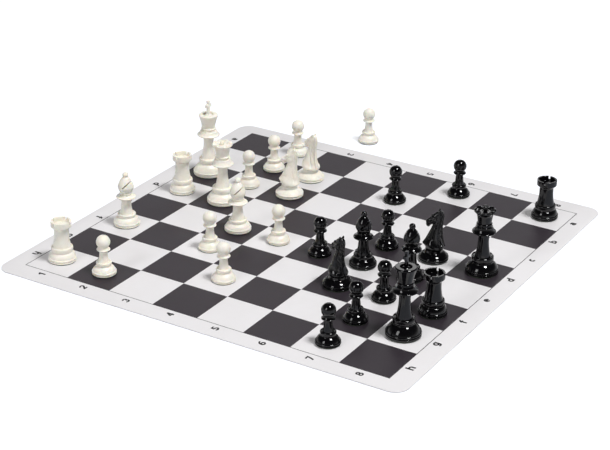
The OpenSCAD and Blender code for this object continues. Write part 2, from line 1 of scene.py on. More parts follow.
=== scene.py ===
"""Dresses the roll-up chess set: printed mat, turned and carved pieces, felt pads, floor, lights, camera."""

import math

import bmesh
import bpy
from mathutils import Euler, Matrix, Vector, noise


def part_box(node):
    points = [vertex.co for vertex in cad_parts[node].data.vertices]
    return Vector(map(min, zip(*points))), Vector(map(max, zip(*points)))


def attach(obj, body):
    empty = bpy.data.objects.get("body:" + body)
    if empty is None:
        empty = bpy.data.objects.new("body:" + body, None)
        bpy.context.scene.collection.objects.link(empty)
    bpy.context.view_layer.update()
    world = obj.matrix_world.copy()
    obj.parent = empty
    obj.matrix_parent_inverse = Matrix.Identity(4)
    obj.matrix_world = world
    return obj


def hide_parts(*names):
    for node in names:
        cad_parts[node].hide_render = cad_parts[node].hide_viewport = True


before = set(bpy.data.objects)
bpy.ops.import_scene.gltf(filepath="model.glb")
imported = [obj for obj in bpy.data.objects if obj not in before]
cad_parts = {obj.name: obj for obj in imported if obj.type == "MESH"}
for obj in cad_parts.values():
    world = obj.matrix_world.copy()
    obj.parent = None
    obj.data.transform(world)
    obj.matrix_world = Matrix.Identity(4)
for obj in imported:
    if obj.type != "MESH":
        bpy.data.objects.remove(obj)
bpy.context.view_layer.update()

bl_info = {
    "name": "Roll-up chess set",
    "version": (1, 0, 0),
    "blender": (4, 5, 0),
    "location": "3D View > Sidebar > Chess Set",
    "description": "Printed vinyl mat, weighted pieces with felt pads, and a stage for them",
    "category": "Add Mesh",
}

MM = 0.001
# A height nearer than SLACK to a limit is at it, and a length below TINY counts as none.
SLACK = 0.001 * MM
TINY = 0.0001 * MM
FILES = "abcdefgh"

# Each piece's node, and how far it is turned on its base, in degrees.
PAWNS = {
    "white_pawn_a2": 12, "white_pawn_b2": 75, "white_pawn_c2": 141, "white_pawn_e4": 203,
    "white_pawn_f3": 260, "white_pawn_g4": 318, "white_pawn_h2": 33, "white_pawn_taken": 96,
    "black_pawn_a6": 157, "black_pawn_b5": 222, "black_pawn_d6": 281, "black_pawn_e5": 339,
    "black_pawn_f7": 48, "black_pawn_g7": 111, "black_pawn_h7": 174,
}
ROOKS = {"white_rook_h1": 6, "white_rook_d1": 0, "black_rook_a8": 9, "black_rook_f8": 9}
BISHOPS = {
    "white_bishop_f1": 110, "white_bishop_e3": 110, "black_bishop_e6": 110, "black_bishop_e7": 110,
}
KNIGHTS = {
    "white_knight_c3": -70, "white_knight_b3": -108, "black_knight_f6": -112, "black_knight_d7": -58,
}
QUEENS = {"white_queen_d2": 10, "black_queen_d8": 25}
KINGS = {"white_king_c1": 0, "black_king_g8": 0}


# ---------------------------------------------------------------- settings

def length(name, description, default):
    """A length in metres."""
    return bpy.props.FloatProperty(
        name=name, description=description, default=default, min=0, unit="LENGTH", precision=5)


def lengths(name, description, *default):
    return bpy.props.FloatVectorProperty(
        name=name, description=description, default=default, size=len(default), unit="LENGTH", precision=5)


def top_of(name, radius, height):
    """Radius and height, in millimetres, of the top of a dome or a step."""
    return lengths(name, f"Radius and height of the {name.lower()}'s top", radius * MM, height * MM)


def stem_of(*sizes):
    """Radii, in millimetres, of a stem that ends at a collar."""
    return lengths("Stem", "Radius at the stem's foot and top", *[size * MM for size in sizes])


def collar_of(*sizes):
    """Sizes, in millimetres, of the collar on a stem."""
    return lengths("Collar", "Radius, height and edge radius of the collar", *[size * MM for size in sizes])


def shoulder_of(*sizes):
    """Sizes, in millimetres, of the slope over a tall piece's collar."""
    return lengths("Shoulder", "Radius and height at the top of the slope above the collar",
                   *[size * MM for size in sizes])


def ring_of(*sizes):
    """Sizes, in millimetres, of the small ring over a shoulder."""
    return lengths("Ring", "Radius and height of the small ring", *[size * MM for size in sizes])


def share_of(name, description, default, least=-1.0):
    return bpy.props.FloatProperty(name=name, description=description, default=default, min=least)


def angle_of(name, description, degrees):
    return bpy.props.FloatProperty(
        name=name, description=description, default=math.radians(degrees), subtype="ANGLE")


def number_of(name, description, default, least):
    return bpy.props.IntProperty(name=name, description=description, default=default, min=least)


def colour(name, description, *default):
    return bpy.props.FloatVectorProperty(
        name=name, description=description, default=default, size=3, min=0, max=1, subtype="COLOR")


class ChessMatSettings(bpy.types.PropertyGroup):
    squares: number_of("Squares", "Squares along each side of the board", 8, least=2)
    square: length("Square", "Side of one square", 57.15 * MM)
    corner: length("Corner", "Radius of the sheet's corners", 16.5 * MM)
    edge: length("Edge", "Rounding of the sheet's cut edge", 0.3 * MM)
    askew: angle_of("Askew", "How far the sheet is cut askew to its print", 0.4)
    gap: length("Gap", "Bare sheet between neighbouring printed squares", 0.1 * MM)
    line: length("Line", "Width of the printed line round the squares", 0.8 * MM)
    ink: length("Ink", "How far the print stands above the sheet", 0.02 * MM)
    digit: length("Digit", "Height of the rank numbers", 8.8 * MM)
    letter: length("Letter", "Height of the tall file letters", 9.4 * MM)
    bold: share_of("Bold", "Width of the labels' strokes, as a share of their height", 0.21, least=0.02)
    wide: share_of("Wide", "Widening of the labels", 1.2, least=0.1)
    outside: lengths(
        "Outside", "Distance of the labels' middles from the squares: near, far, last and first rank sides",
        8.7 * MM, 9.6 * MM, 8.4 * MM, 8.4 * MM)
    vinyl: colour("Vinyl", "Colour of the sheet", 0.79, 0.775, 0.79)
    print_colour: colour("Print", "Colour of the printed squares", 0.0275, 0.0225, 0.028)
    ink_colour: colour("Ink", "Colour of the lettering and the line", 0.012, 0.011, 0.012)


class ChessFinishSettings(bpy.types.PropertyGroup):
    ivory: colour("Ivory", "Colour of the white pieces", 0.885, 0.858, 0.783)
    ebony: colour("Black", "Colour of the black pieces", 0.0016, 0.0015, 0.0019)
    felt: colour("Felt", "Colour of the pads", 0.075, 0.1, 0.065)
    fillet: length("Fillet", "Rounding of the moulded edges", 0.3 * MM)
    segments: number_of("Segments", "Sides of the turned shapes", 104, least=24)


class ChessStandingSettings(bpy.types.PropertyGroup):
    felt: length("Felt", "Thickness of the felt pads", 0.9 * MM)
    glue: length("Glue", "Thickness of the glue line over a pad", 0.05 * MM)
    inset: length("Inset", "How far each pad stays inside the base's edge", 0.9 * MM)
    tuck: length("Tuck", "How far the foot is drawn in under the base", 0.6 * MM)
    edge: length("Edge", "Rounding over the widest part of a base", 0.9 * MM)
    swell: share_of("Swell", "Height where a base is widest, as a share of its radius", 0.29, least=0)
    cone: share_of("Cone", "Bulge of the slope above the base's edge", 0.15)
    rise: length("Rise", "Height of the hollow between a dome and its step", 1.2 * MM)
    draw: length("Draw", "How far the foot of a step is drawn in", 0.5 * MM)
    lip: length("Lip", "Rounding of a step's top edge", 1.2 * MM)
    cup: length("Cup", "Depth of the dish on top of a step", 0.6 * MM)
    slope: share_of("Slope", "Bulge of the slope over a tall piece's collar", -0.14)
    groove: lengths("Groove", "Drop below the edge, width and depth of the fine groove",
                    0.8 * MM, 1.15 * MM, 1.1 * MM)


class ChessPawnSettings(bpy.types.PropertyGroup):
    height: length("Height", "Height of the pawn", 46.2 * MM)
    base: length("Base", "Radius of the base", 13.5 * MM)
    dome: top_of("Dome", 9, 9.6)
    step: top_of("Step", 8.5, 15.3)
    stem: stem_of(6, 4.5)
    collar: collar_of(7.5, 29.6, 0.8)
    head: length("Head", "Radius of the head", 7.75 * MM)


class ChessRookSettings(bpy.types.PropertyGroup):
    height: length("Height", "Height of the rook", 48.4 * MM)
    base: length("Base", "Radius of the base", 15.7 * MM)
    dome: top_of("Dome", 12.4, 10.6)
    step: top_of("Step", 12, 17.6)
    stem: lengths("Stem", "Radius at the stem's foot and top, and height of its top",
                  10.4 * MM, 8.2 * MM, 38.2 * MM)
    turret: lengths("Turret", "Radius of the turret and the height where its wall begins",
                    11.5 * MM, 41.4 * MM)
    well: lengths("Well", "Thickness of the turret's wall and depth of its well", 2.1 * MM, 5.4 * MM)
    slots: number_of("Slots", "Slots round the turret", 4, least=1)
    slot: lengths("Slot", "Width and depth of a slot", 2.3 * MM, 3.6 * MM)


class ChessBishopSettings(bpy.types.PropertyGroup):
    height: length("Height", "Height of the bishop", 66 * MM)
    base: length("Base", "Radius of the base", 15.5 * MM)
    dome: top_of("Dome", 11.6, 9.8)
    step: top_of("Step", 10.6, 15)
    stem: stem_of(7.8, 5.6)
    collar: collar_of(11.4, 35.4, 0.9)
    shoulder: shoulder_of(7.8, 38.2)
    ring: ring_of(7.4, 40)
    neck: length("Neck", "Radius of the mitre above the ring", 6.2 * MM)
    mitre: lengths("Mitre", "Radius of the mitre and the height where it is widest", 9.2 * MM, 47 * MM)
    ball: length("Ball", "Radius of the ball", 3.6 * MM)
    cut: lengths("Cut", "Width of the cut, how far it passes the centre and its height there",
                 1.4 * MM, 3 * MM, 49.6 * MM)
    slope: angle_of("Slope", "Slope of the cut", 42)


class ChessQueenSettings(bpy.types.PropertyGroup):
    height: length("Height", "Height of the queen", 79.4 * MM)
    base: length("Base", "Radius of the base", 18.6 * MM)
    dome: top_of("Dome", 12.7, 12.6)
    step: top_of("Step", 12.4, 20.4)
    stem: stem_of(8.8, 6.1)
    collar: collar_of(13.2, 49.4, 0.9)
    shoulder: shoulder_of(9.4, 55.8)
    ring: ring_of(8.8, 58.8)
    body: lengths("Body", "Radius of the crown above the ring and where it starts to flare, and that height",
                  7.5 * MM, 8.5 * MM, 67.4 * MM)
    coronet: lengths("Coronet", "Radius of the coronet, height where it is widest and height of its points",
                     12.1 * MM, 73.4 * MM, 76 * MM)
    wall: length("Wall", "Thickness of the coronet at its points", 2.4 * MM)
    points: number_of("Points", "Points of the coronet", 9, least=3)
    scallop: length("Scallop", "Radius of the scallops between the points", 2.5 * MM)
    ball: length("Ball", "Radius of the ball", 2.9 * MM)


class ChessKingSettings(bpy.types.PropertyGroup):
    height: length("Height", "Height of the king", 96 * MM)
    base: length("Base", "Radius of the base", 19 * MM)
    dome: top_of("Dome", 11.7, 15)
    step: top_of("Step", 12, 21.8)
    stem: stem_of(9, 6.3)
    collar: collar_of(13.8, 52.2, 0.9)
    shoulder: shoulder_of(10.2, 57.4)
    ring: ring_of(9, 60.4)
    body: length("Body", "Radius of the crown above the ring", 7.8 * MM)
    crown: lengths("Crown", "Radius of the crown, height where it is widest and height of its rim",
                   11.8 * MM, 77.4 * MM, 78.8 * MM)
    hollow: lengths("Hollow", "Radius and depth of the hollow inside the rim", 6.4 * MM, 2.4 * MM)
    cross: lengths("Cross", "Span, narrowest width, thickness and middle height of the cross",
                   9.6 * MM, 3 * MM, 3.2 * MM, 89.8 * MM)


class ChessKnightSettings(bpy.types.PropertyGroup):
    base: length("Base", "Radius of the base", 16.8 * MM)
    dome: top_of("Dome", 10.8, 9.8)
    waist: lengths("Waist", "Radius and height of the waist band's top", 9.6 * MM, 13.6 * MM)
    grain: length("Grain", "Size of the voxels that the carving is made of", 0.34 * MM)


class ChessStageSettings(bpy.types.PropertyGroup):
    floor: colour("Floor", "Colour of the floor", 0.45, 0.47, 0.52)
    floor_size: length("Floor size", "Side of the floor", 9)
    lift: share_of("Lift", "How much paler the floor looks than it is lit", 0.62, least=0)
    mirrored: share_of("Mirrored", "Share of that lift that shows in glossy surfaces", 0.05, least=0)
    eye: lengths("Camera", "Place of the camera", 1.54168, 0.92169, 0.86382)
    gaze: bpy.props.FloatVectorProperty(
        name="Gaze", description="Turn of the camera", size=3, subtype="EULER",
        default=[math.radians(a) for a in (64.779, -0.7442, 121.4491)])
    lens: bpy.props.FloatProperty(
        name="Lens", description="Focal length of the camera, in millimetres", default=102.838, min=10)
    reach: length("Reach", "Distance of the lights", 6)
    key: share_of("Key", "Strength of the soft light overhead", 1.0, least=0)
    fill: share_of("Fill", "Strength of the second soft light", 1.0, least=0)
    back: share_of("Back", "Strength of the wide soft light behind", 1.0, least=0)
    sky: share_of("Sky", "Strength of the light from all round", 1.0, least=0)


SETTINGS = {
    "chess_mat": ChessMatSettings,
    "chess_finish": ChessFinishSettings,
    "chess_standing": ChessStandingSettings,
    "chess_pawn": ChessPawnSettings,
    "chess_rook": ChessRookSettings,
    "chess_bishop": ChessBishopSettings,
    "chess_knight": ChessKnightSettings,
    "chess_queen": ChessQueenSettings,
    "chess_king": ChessKingSettings,
    "chess_stage": ChessStageSettings,
}


# ---------------------------------------------------------------- shading

def shader_tree(name):
    """A new material's nodes, with its Principled shader."""
    material = bpy.data.materials.new(name)
    material.use_nodes = True
    nodes = material.node_tree.nodes
    return material, material.node_tree, nodes["Principled BSDF"]


def node_group(kind, name, inputs, outputs):
    """A node group with named sockets, and its input and output nodes."""
    tree = bpy.data.node_groups.new(name, kind)
    for label, sort, default in inputs:
        socket = tree.interface.new_socket(label, in_out="INPUT", socket_type=f"NodeSocket{sort}")
        if default is not None:
            socket.default_value = default
    for label, sort in outputs:
        tree.interface.new_socket(label, in_out="OUTPUT", socket_type=f"NodeSocket{sort}")
    return tree, tree.nodes.new("NodeGroupInput"), tree.nodes.new("NodeGroupOutput")


def wire(tree, kind, inputs=None, **settings):
    """Adds a node, sets its properties, and links or sets its inputs."""
    node = tree.nodes.new(kind)
    for key, value in settings.items():
        setattr(node, key, value)
    for key, value in (inputs or {}).items():
        socket = node.inputs[key]
        if isinstance(value, bpy.types.NodeSocket):
            tree.links.new(value, socket)
        else:
            socket.default_value = value
    return node


def sum_of(tree, a, b, operation="ADD"):
    """The sum of two values, or what another operation makes of them."""
    return wire(tree, "ShaderNodeMath", {0: a, 1: b}, operation=operation).outputs[0]


def spread(tree, value, low, high):
    """Maps 0 to 1 onto low to high."""
    return wire(tree, "ShaderNodeMapRange", {"Value": value, "To Min": low, "To Max": high}).outputs[0]


def picked(tree, value, low, high):
    """Maps low to high onto 0 to 1."""
    return wire(tree, "ShaderNodeMapRange", {"Value": value, "From Min": low, "From Max": high}).outputs[0]


def tint(tree, factor, a, b):
    """Colour a, going over into colour b with the factor."""
    return wire(tree, "ShaderNodeMix", {0: factor, 6: a, 7: b}, data_type="RGBA").outputs[2]


def bumped(tree, height, strength, distance):
    """The normal of a surface with these heights on it."""
    bump = wire(tree, "ShaderNodeBump", {"Strength": strength, "Distance": distance, "Height": height})
    return bump.outputs[0]


def noise_of(tree, place, scale, detail=3.0, rough=0.5):
    noisy = wire(tree, "ShaderNodeTexNoise", {
        "Vector": place, "Scale": scale, "Detail": detail, "Roughness": rough})
    return noisy.outputs["Fac"]


def four(rgb, scale=1.0):
    """The colour as a socket takes it, made lighter or darker by scale."""
    return (*[min(1.0, c * scale) for c in rgb], 1.0)


def shaded(rgb, *by):
    """The colour with its red, green and blue each taken by a share."""
    return four([c * k for c, k in zip(rgb, by)])


def once(name, make):
    """The node group of that name, which make builds the first time."""
    return bpy.data.node_groups.get(name) or make(name)


def surface_of(name, group, values, constants):
    """A material whose colour, roughness and normal come from a group, with its shader's own constants."""
    if name in bpy.data.materials:
        return bpy.data.materials[name]
    material, tree, surface = shader_tree(name)
    look = wire(tree, "ShaderNodeGroup", node_tree=group)
    for label, value in values.items():
        look.inputs[label].default_value = value
    for label, socket in (("Colour", "Base Color"), ("Roughness", "Roughness"), ("Normal", "Normal")):
        tree.links.new(look.outputs[label], surface.inputs[socket])
    for label, value in constants.items():
        surface.inputs[label].default_value = value
    return material


def look_group(name, **numbers):
    """A shader group for surface_of, which takes two colours and these numbers."""
    inputs = [("Colour", "Color", None), ("Shade", "Color", None)]
    inputs += [(label, "Float", value) for label, value in numbers.items()]
    outputs = [("Colour", "Color"), ("Roughness", "Float"), ("Normal", "Vector")]
    return node_group("ShaderNodeTree", name, inputs, outputs)


def plastic_group(name):
    """Moulded plastic: cloudy colour, handling smears, fine specks and a faint orange-peel surface."""
    tree, given, out = look_group(name, Gloss=0.2, Smear=0.1, Peel=0.1)
    place = wire(tree, "ShaderNodeTexCoord").outputs["Object"]
    cloud = noise_of(tree, place, scale=70, detail=4)
    smear = noise_of(tree, place, scale=190, detail=5, rough=0.65)
    speck = noise_of(tree, place, scale=2600, detail=2)
    peel = noise_of(tree, place, scale=900, detail=2)
    mask = spread(tree, picked(tree, speck, 0.66, 0.74), 0.0, 0.35)
    clouded = tint(tree, cloud, given.outputs["Colour"], given.outputs["Shade"])
    wiped = sum_of(tree, picked(tree, smear, 0.42, 0.68), given.outputs["Smear"], "MULTIPLY")
    tree.links.new(tint(tree, mask, clouded, given.outputs["Shade"]), out.inputs["Colour"])
    tree.links.new(sum_of(tree, given.outputs["Gloss"], wiped), out.inputs["Roughness"])
    tree.links.new(bumped(tree, peel, given.outputs["Peel"], distance=0.1 * MM), out.inputs["Normal"])
    return tree


def ivory_plastic():
    rgb = bpy.context.scene.chess_finish.ivory
    return surface_of(
        "ivory_plastic", once("moulded_plastic", plastic_group),
        {"Colour": four(rgb), "Shade": shaded(rgb, 0.985, 0.965, 0.92), "Gloss": 0.26, "Smear": 0.12,
         "Peel": 0.12},
        {"IOR": 1.49, "Subsurface Weight": 0.35, "Subsurface Radius": (1.0, 0.7, 0.4),
         "Subsurface Scale": 2.2 * MM})


def black_plastic():
    rgb = bpy.context.scene.chess_finish.ebony
    return surface_of(
        "ebony_plastic", once("moulded_plastic", plastic_group),
        {"Colour": four(rgb), "Shade": four(rgb, 1.7), "Gloss": 0.06, "Smear": 0.05, "Peel": 0.1},
        {"IOR": 1.5})


def vinyl_group(name):
    """Embossed vinyl: a fine pebbled grain, slow colour drift and rubbed patches."""
    tree, given, out = look_group(name, Low=0.4, High=0.6, Emboss=0.3)
    place = wire(tree, "ShaderNodeTexCoord").outputs["Object"]
    drift = noise_of(tree, place, scale=9, detail=4)
    rub = noise_of(tree, place, scale=45, detail=5, rough=0.6)
    weave = noise_of(tree, place, scale=420, detail=3)
    pebble = wire(tree, "ShaderNodeTexVoronoi", {"Vector": place, "Scale": 1500.0}, feature="SMOOTH_F1")
    mixed = spread(tree, sum_of(tree, drift, rub, "MULTIPLY"), 0.0, 2.2)
    span = sum_of(tree, given.outputs["High"], given.outputs["Low"], "SUBTRACT")
    rough = sum_of(tree, given.outputs["Low"], sum_of(tree, rub, span, "MULTIPLY"))
    height = sum_of(tree, pebble.outputs["Distance"], weave)
    tree.links.new(tint(tree, mixed, given.outputs["Colour"], given.outputs["Shade"]), out.inputs["Colour"])
    tree.links.new(rough, out.inputs["Roughness"])
    tree.links.new(bumped(tree, height, given.outputs["Emboss"], distance=0.12 * MM), out.inputs["Normal"])
    return tree


def vinyl(name, rgb, shade, low, high, emboss, specular):
    """Sheet or ink whose roughness goes from low to high."""
    return surface_of(
        name, once("embossed_vinyl", vinyl_group),
        {"Colour": four(rgb), "Shade": shaded(rgb, *shade), "Low": low, "High": high, "Emboss": emboss},
        {"Specular IOR Level": specular})


def sheet_vinyl():
    return vinyl("sheet_vinyl", bpy.context.scene.chess_mat.vinyl, shade=(0.965, 0.96, 0.95),
                 low=0.32, high=0.46, emboss=0.25, specular=0.5)


def printed_ink():
    return vinyl("printed_ink", bpy.context.scene.chess_mat.print_colour, shade=(1.35, 1.3, 1.32),
                 low=0.36, high=0.48, emboss=0.3, specular=0.22)


def black_ink():
    return vinyl("black_ink", bpy.context.scene.chess_mat.ink_colour, shade=(1.6, 1.6, 1.6),
                 low=0.45, high=0.6, emboss=0.25, specular=0.3)


def felt_pad():
    """Pressed felt: short fibres, uneven dye and a soft sheen."""
    if "felt_pad" in bpy.data.materials:
        return bpy.data.materials["felt_pad"]
    rgb = bpy.context.scene.chess_finish.felt
    material, tree, surface = shader_tree("felt_pad")
    place = wire(tree, "ShaderNodeTexCoord").outputs["Object"]
    stretched = wire(tree, "ShaderNodeMapping", {"Vector": place, "Scale": (1.0, 1.0, 3.0)}).outputs[0]
    fibre = noise_of(tree, stretched, scale=3200, detail=6, rough=0.75)
    dye = spread(tree, noise_of(tree, place, scale=260), 0.0, 0.5)
    hair = tint(tree, fibre, four(rgb, 0.45), four(rgb, 1.7))
    tree.links.new(tint(tree, dye, hair, four(rgb, 0.7)), surface.inputs["Base Color"])
    tree.links.new(spread(tree, fibre, 0.85, 1.0), surface.inputs["Roughness"])
    tree.links.new(bumped(tree, fibre, strength=0.7, distance=0.2 * MM), surface.inputs["Normal"])
    for label, value in (("Sheen Weight", 0.3), ("Sheen Roughness", 0.5), ("Specular IOR Level", 0.2)):
        surface.inputs[label].default_value = value
    return material


# ---------------------------------------------------------------- turned shapes

def bend(p, q, steps):
    """Points from knot p towards knot q. A knot is a radius, a height and the bend of what follows it:
    0 is straight, 1 is half a circle, and a minus sign hollows the shape."""
    a, b = Vector(p[:2]), Vector(q[:2])
    if not p[2]:
        return [a]
    turn, span = 4 * math.atan(p[2]), (b - a).length
    side = Vector((b.y - a.y, a.x - b.x)) / span
    radius = span / (2 * math.sin(turn / 2))
    hub = (a + b) / 2 - side * radius * math.cos(turn / 2)
    start = math.atan2(a.y - hub.y, a.x - hub.x)
    angles = [start + turn * i / steps for i in range(steps)]
    return [hub + abs(radius) * Vector((math.cos(angle), math.sin(angle))) for angle in angles]


def outline(knots, steps=14):
    """Points along all the knots."""
    points = []
    for p, q in zip(knots, knots[1:]):
        points += bend(p, q, steps)
    return points + [Vector(knots[-1][:2])]


def rim(base):
    """Height where a base is widest."""
    return base * bpy.context.scene.chess_standing.swell


def base_knots(base, dome):
    """Knots of a base: its foot, its upright wall, its rounded edge and its cone."""
    s = bpy.context.scene.chess_standing
    plate = s.felt + s.glue
    return [
        (0, plate, 0), (base - s.tuck, plate, 0.3), (base, plate + 1.4 * s.tuck, 0), (base, rim(base), 0.28),
        (base - s.edge, rim(base) + 1.1 * s.edge, s.cone), (*dome, -0.2)]


def foot(base, dome, step, stem):
    """Knots of a base, its step and the start of its stem."""
    s = bpy.context.scene.chess_standing
    return base_knots(base, dome) + [
        (step[0] - s.draw, dome[1] + s.rise, 0.13), (step[0], step[1] - s.lip, 0.41),
        (step[0] - s.lip, step[1], -0.1), (stem[0], step[1] - s.cup, -0.08)]


def collar_knots(stem, collar, after=-0.12):
    """Knots of the stem's top and of the collar, whose edge is a half circle."""
    radius, height, edge = collar
    return [
        (stem[1], height - 3 * edge, -0.12), (radius - edge, height - edge, 1),
        (radius - edge, height + edge, after)]


def shoulder_knots(shoulder, ring):
    """Knots of the slope's flat top and of the small ring, whose edge is a half circle."""
    edge = 1 * MM
    return [
        (*shoulder, 0), (ring[0] - edge, shoulder[1], 0), (ring[0] - edge, ring[1] - edge, 1),
        (ring[0] - edge, ring[1] + edge, 0)]


def tall_knots(piece):
    """Knots of a bishop, queen or king up to its small ring."""
    slope = bpy.context.scene.chess_standing.slope
    return [
        *foot(piece.base, piece.dome, piece.step, piece.stem), *collar_knots(piece.stem, piece.collar, slope),
        *shoulder_knots(piece.shoulder, piece.ring)]


def on_ball(radius, middle, degrees):
    """Radius and height of a ball's outline at this angle over its middle."""
    angle = math.radians(degrees)
    return radius * math.cos(angle), middle + radius * math.sin(angle)


def balled(knots, base, name, radius, middle, start, steps=22):
    """A turned shape with a ball on top, whose outline starts at the angle start, in degrees."""
    arc = [Vector(on_ball(radius, middle, start + (90 - start) * i / steps)) for i in range(1, steps)]
    arc.append(Vector((0, middle + radius)))
    return turned([*knots, (*on_ball(radius, middle, start), 0)], base, name, arc)


def grooved(points, base):
    """Cuts the fine groove into the foot's outline, just below the base's edge."""
    drop, width, depth = bpy.context.scene.chess_standing.groove
    high = rim(base) - drop
    low = high - width
    wall = base / 2
    out = []
    for a, b in zip(points, points[1:]):
        out.append(a)
        if a.x > wall and b.x > wall and a.y < b.y <= rim(base) + SLACK:
            for level, inward in ((low, (0, 1)), (high, (1, 0))):
                if a.y < level <= b.y:
                    edge = a.lerp(b, (level - a.y) / (b.y - a.y))
                    out += [edge - Vector((depth * k, 0)) for k in inward]
    out.append(points[-1])
    return [p for p in out if not (low + SLACK < p.y < high - SLACK and p.x > wall)]


# An outline's corner: the turn below which it stays as it is, the most of a side that its rounding takes, and
# where the point that holds a flat face beside it stands, in roundings from the corner.
GENTLE = math.radians(24)
ROUNDED_SHARE = 0.42
HOLD = 1.35


def softened(points, radius):
    """Rounds the outline's corners, and holds the faces beside them flat."""
    out = [points[0]]
    for before, here, after in zip(points, points[1:], points[2:]):
        a, b = before - here, after - here
        if min(a.length, b.length) < TINY:
            continue
        if a.angle(-b) < GENTLE:
            out.append(here)
            continue
        reach = min(radius, ROUNDED_SHARE * a.length, ROUNDED_SHARE * b.length)
        u, v = a.normalized() * reach, b.normalized() * reach
        if a.length > 3 * reach:
            out.append(here + u * HOLD)
        out += [here + u * (1 - t) ** 2 + v * t ** 2 for t in (0, 0.2, 0.4, 0.6, 0.8, 1)]
        if b.length > 3 * reach:
            out.append(here + v * HOLD)
    out.append(points[-1])
    return out


def ring_faces(mesh, low, high):
    """Faces between two rings of corners. A corner that stands for several gives triangles."""
    for i in range(len(low)):
        j = (i + 1) % len(low)
        corners = list(dict.fromkeys((low[i], low[j], high[j], high[i])))
        if len(corners) > 2:
            mesh.faces.new(corners)


def lathe(name, points, segments):
    """A closed mesh of the outline turned about the Z axis. Its first and last points lie on the axis."""
    mesh = bmesh.new()
    turns = [math.tau * i / segments for i in range(segments)]
    rows = []
    for p in points:
        if p.x < TINY:
            rows.append([mesh.verts.new((0, 0, p.y))] * segments)
        else:
            rows.append([mesh.verts.new((p.x * math.cos(turn), p.x * math.sin(turn), p.y)) for turn in turns])
    for low, high in zip(rows, rows[1:]):
        ring_faces(mesh, low, high)
    return finished(mesh, name)


# The angles, in degrees, past which an edge is shaded sharp, and past which a cut edge is broken.
CREASE = 38
CARVED_CREASE = 34
CUT_EDGE = 42


def mesh_data(mesh, name):
    """Mesh data of a bmesh, which goes."""
    data = bpy.data.meshes.new(name)
    mesh.to_mesh(data)
    mesh.free()
    return data


def smoothed(data, crease=CREASE):
    data.shade_smooth()
    data.set_sharp_from_angle(angle=math.radians(crease))
    return data


def finished(mesh, name, crease=CREASE):
    """Turns a bmesh into smooth-shaded mesh data with outward faces."""
    bmesh.ops.recalc_face_normals(mesh, faces=mesh.faces)
    return smoothed(mesh_data(mesh, name), crease)


def box_mesh(name, low, high, matrix=Matrix()):
    middle, size = (Vector(low) + Vector(high)) / 2, Vector(high) - Vector(low)
    mesh = bmesh.new()
    bmesh.ops.create_cube(
        mesh, size=1, matrix=matrix @ Matrix.Translation(middle) @ Matrix.Diagonal((*size, 1)))
    return finished(mesh, name)


def from_to(start, end):
    """The matrix that stands an upright, centred shape from start to end, and the distance between them."""
    axis = Vector(end) - Vector(start)
    turn = axis.to_track_quat("Z", "Y").to_matrix().to_4x4()
    return Matrix.Translation((Vector(start) + Vector(end)) / 2) @ turn, axis.length


def show(data, name):
    """Puts mesh data into the scene as an object at the origin."""
    thing = bpy.data.objects.new(name, data)
    bpy.context.scene.collection.objects.link(thing)
    return thing


def baked(thing, name):
    """Mesh data of the object with its modifiers applied. The object goes."""
    bpy.context.view_layer.update()
    seen = thing.evaluated_get(bpy.context.evaluated_depsgraph_get())
    data = bpy.data.meshes.new_from_object(seen)
    data.name = name
    bpy.data.objects.remove(thing)
    return data


def carved(data, cutters, name, edge=0.18 * MM):
    """Mesh data with the cutters taken away, its new edges broken."""
    thing = show(data, name)
    tools = [show(c, "cutter") for c in cutters]
    for tool in tools:
        cut = thing.modifiers.new("cut", "BOOLEAN")
        cut.object = tool
        cut.operation = "DIFFERENCE"
        cut.solver = "EXACT"
    bevel = thing.modifiers.new("edge", "BEVEL")
    bevel.width = edge
    bevel.segments = 2
    bevel.limit_method = "ANGLE"
    bevel.angle_limit = math.radians(CUT_EDGE)
    made = baked(thing, name)
    for tool in tools:
        bpy.data.objects.remove(tool)
    return smoothed(made, CARVED_CREASE)


def joined(name, *parts):
    """One mesh of several."""
    mesh = bmesh.new()
    for part in parts:
        mesh.from_mesh(part)
    return smoothed(mesh_data(mesh, name), CARVED_CREASE)


# ---------------------------------------------------------------- geometry nodes

def shape_group(name, inputs):
    """A geometry node group with named inputs and one geometry output."""
    return node_group("GeometryNodeTree", name, inputs, [("Geometry", "Geometry")])


def ended(tree, given, out, geometry):
    """Ends a tree in Realize Instances and Set Material."""
    real = wire(tree, "GeometryNodeRealizeInstances", {"Geometry": geometry})
    done = wire(tree, "GeometryNodeSetMaterial", {
        "Geometry": real.outputs[0], "Material": given.outputs["Material"]})
    tree.links.new(done.outputs[0], out.inputs[0])
    return tree


def grown(tree, name, start=None, **values):
    """Mesh data that the tree makes with these values for its inputs, from the mesh start if it is given."""
    thing = show(start or bpy.data.meshes.new(name), name)
    maker = thing.modifiers.new("maker", "NODES")
    maker.node_group = tree
    for item in tree.interface.items_tree:
        if item.item_type == "SOCKET" and item.in_out == "INPUT" and item.name in values:
            maker[item.identifier] = values[item.name]
    return baked(thing, name)


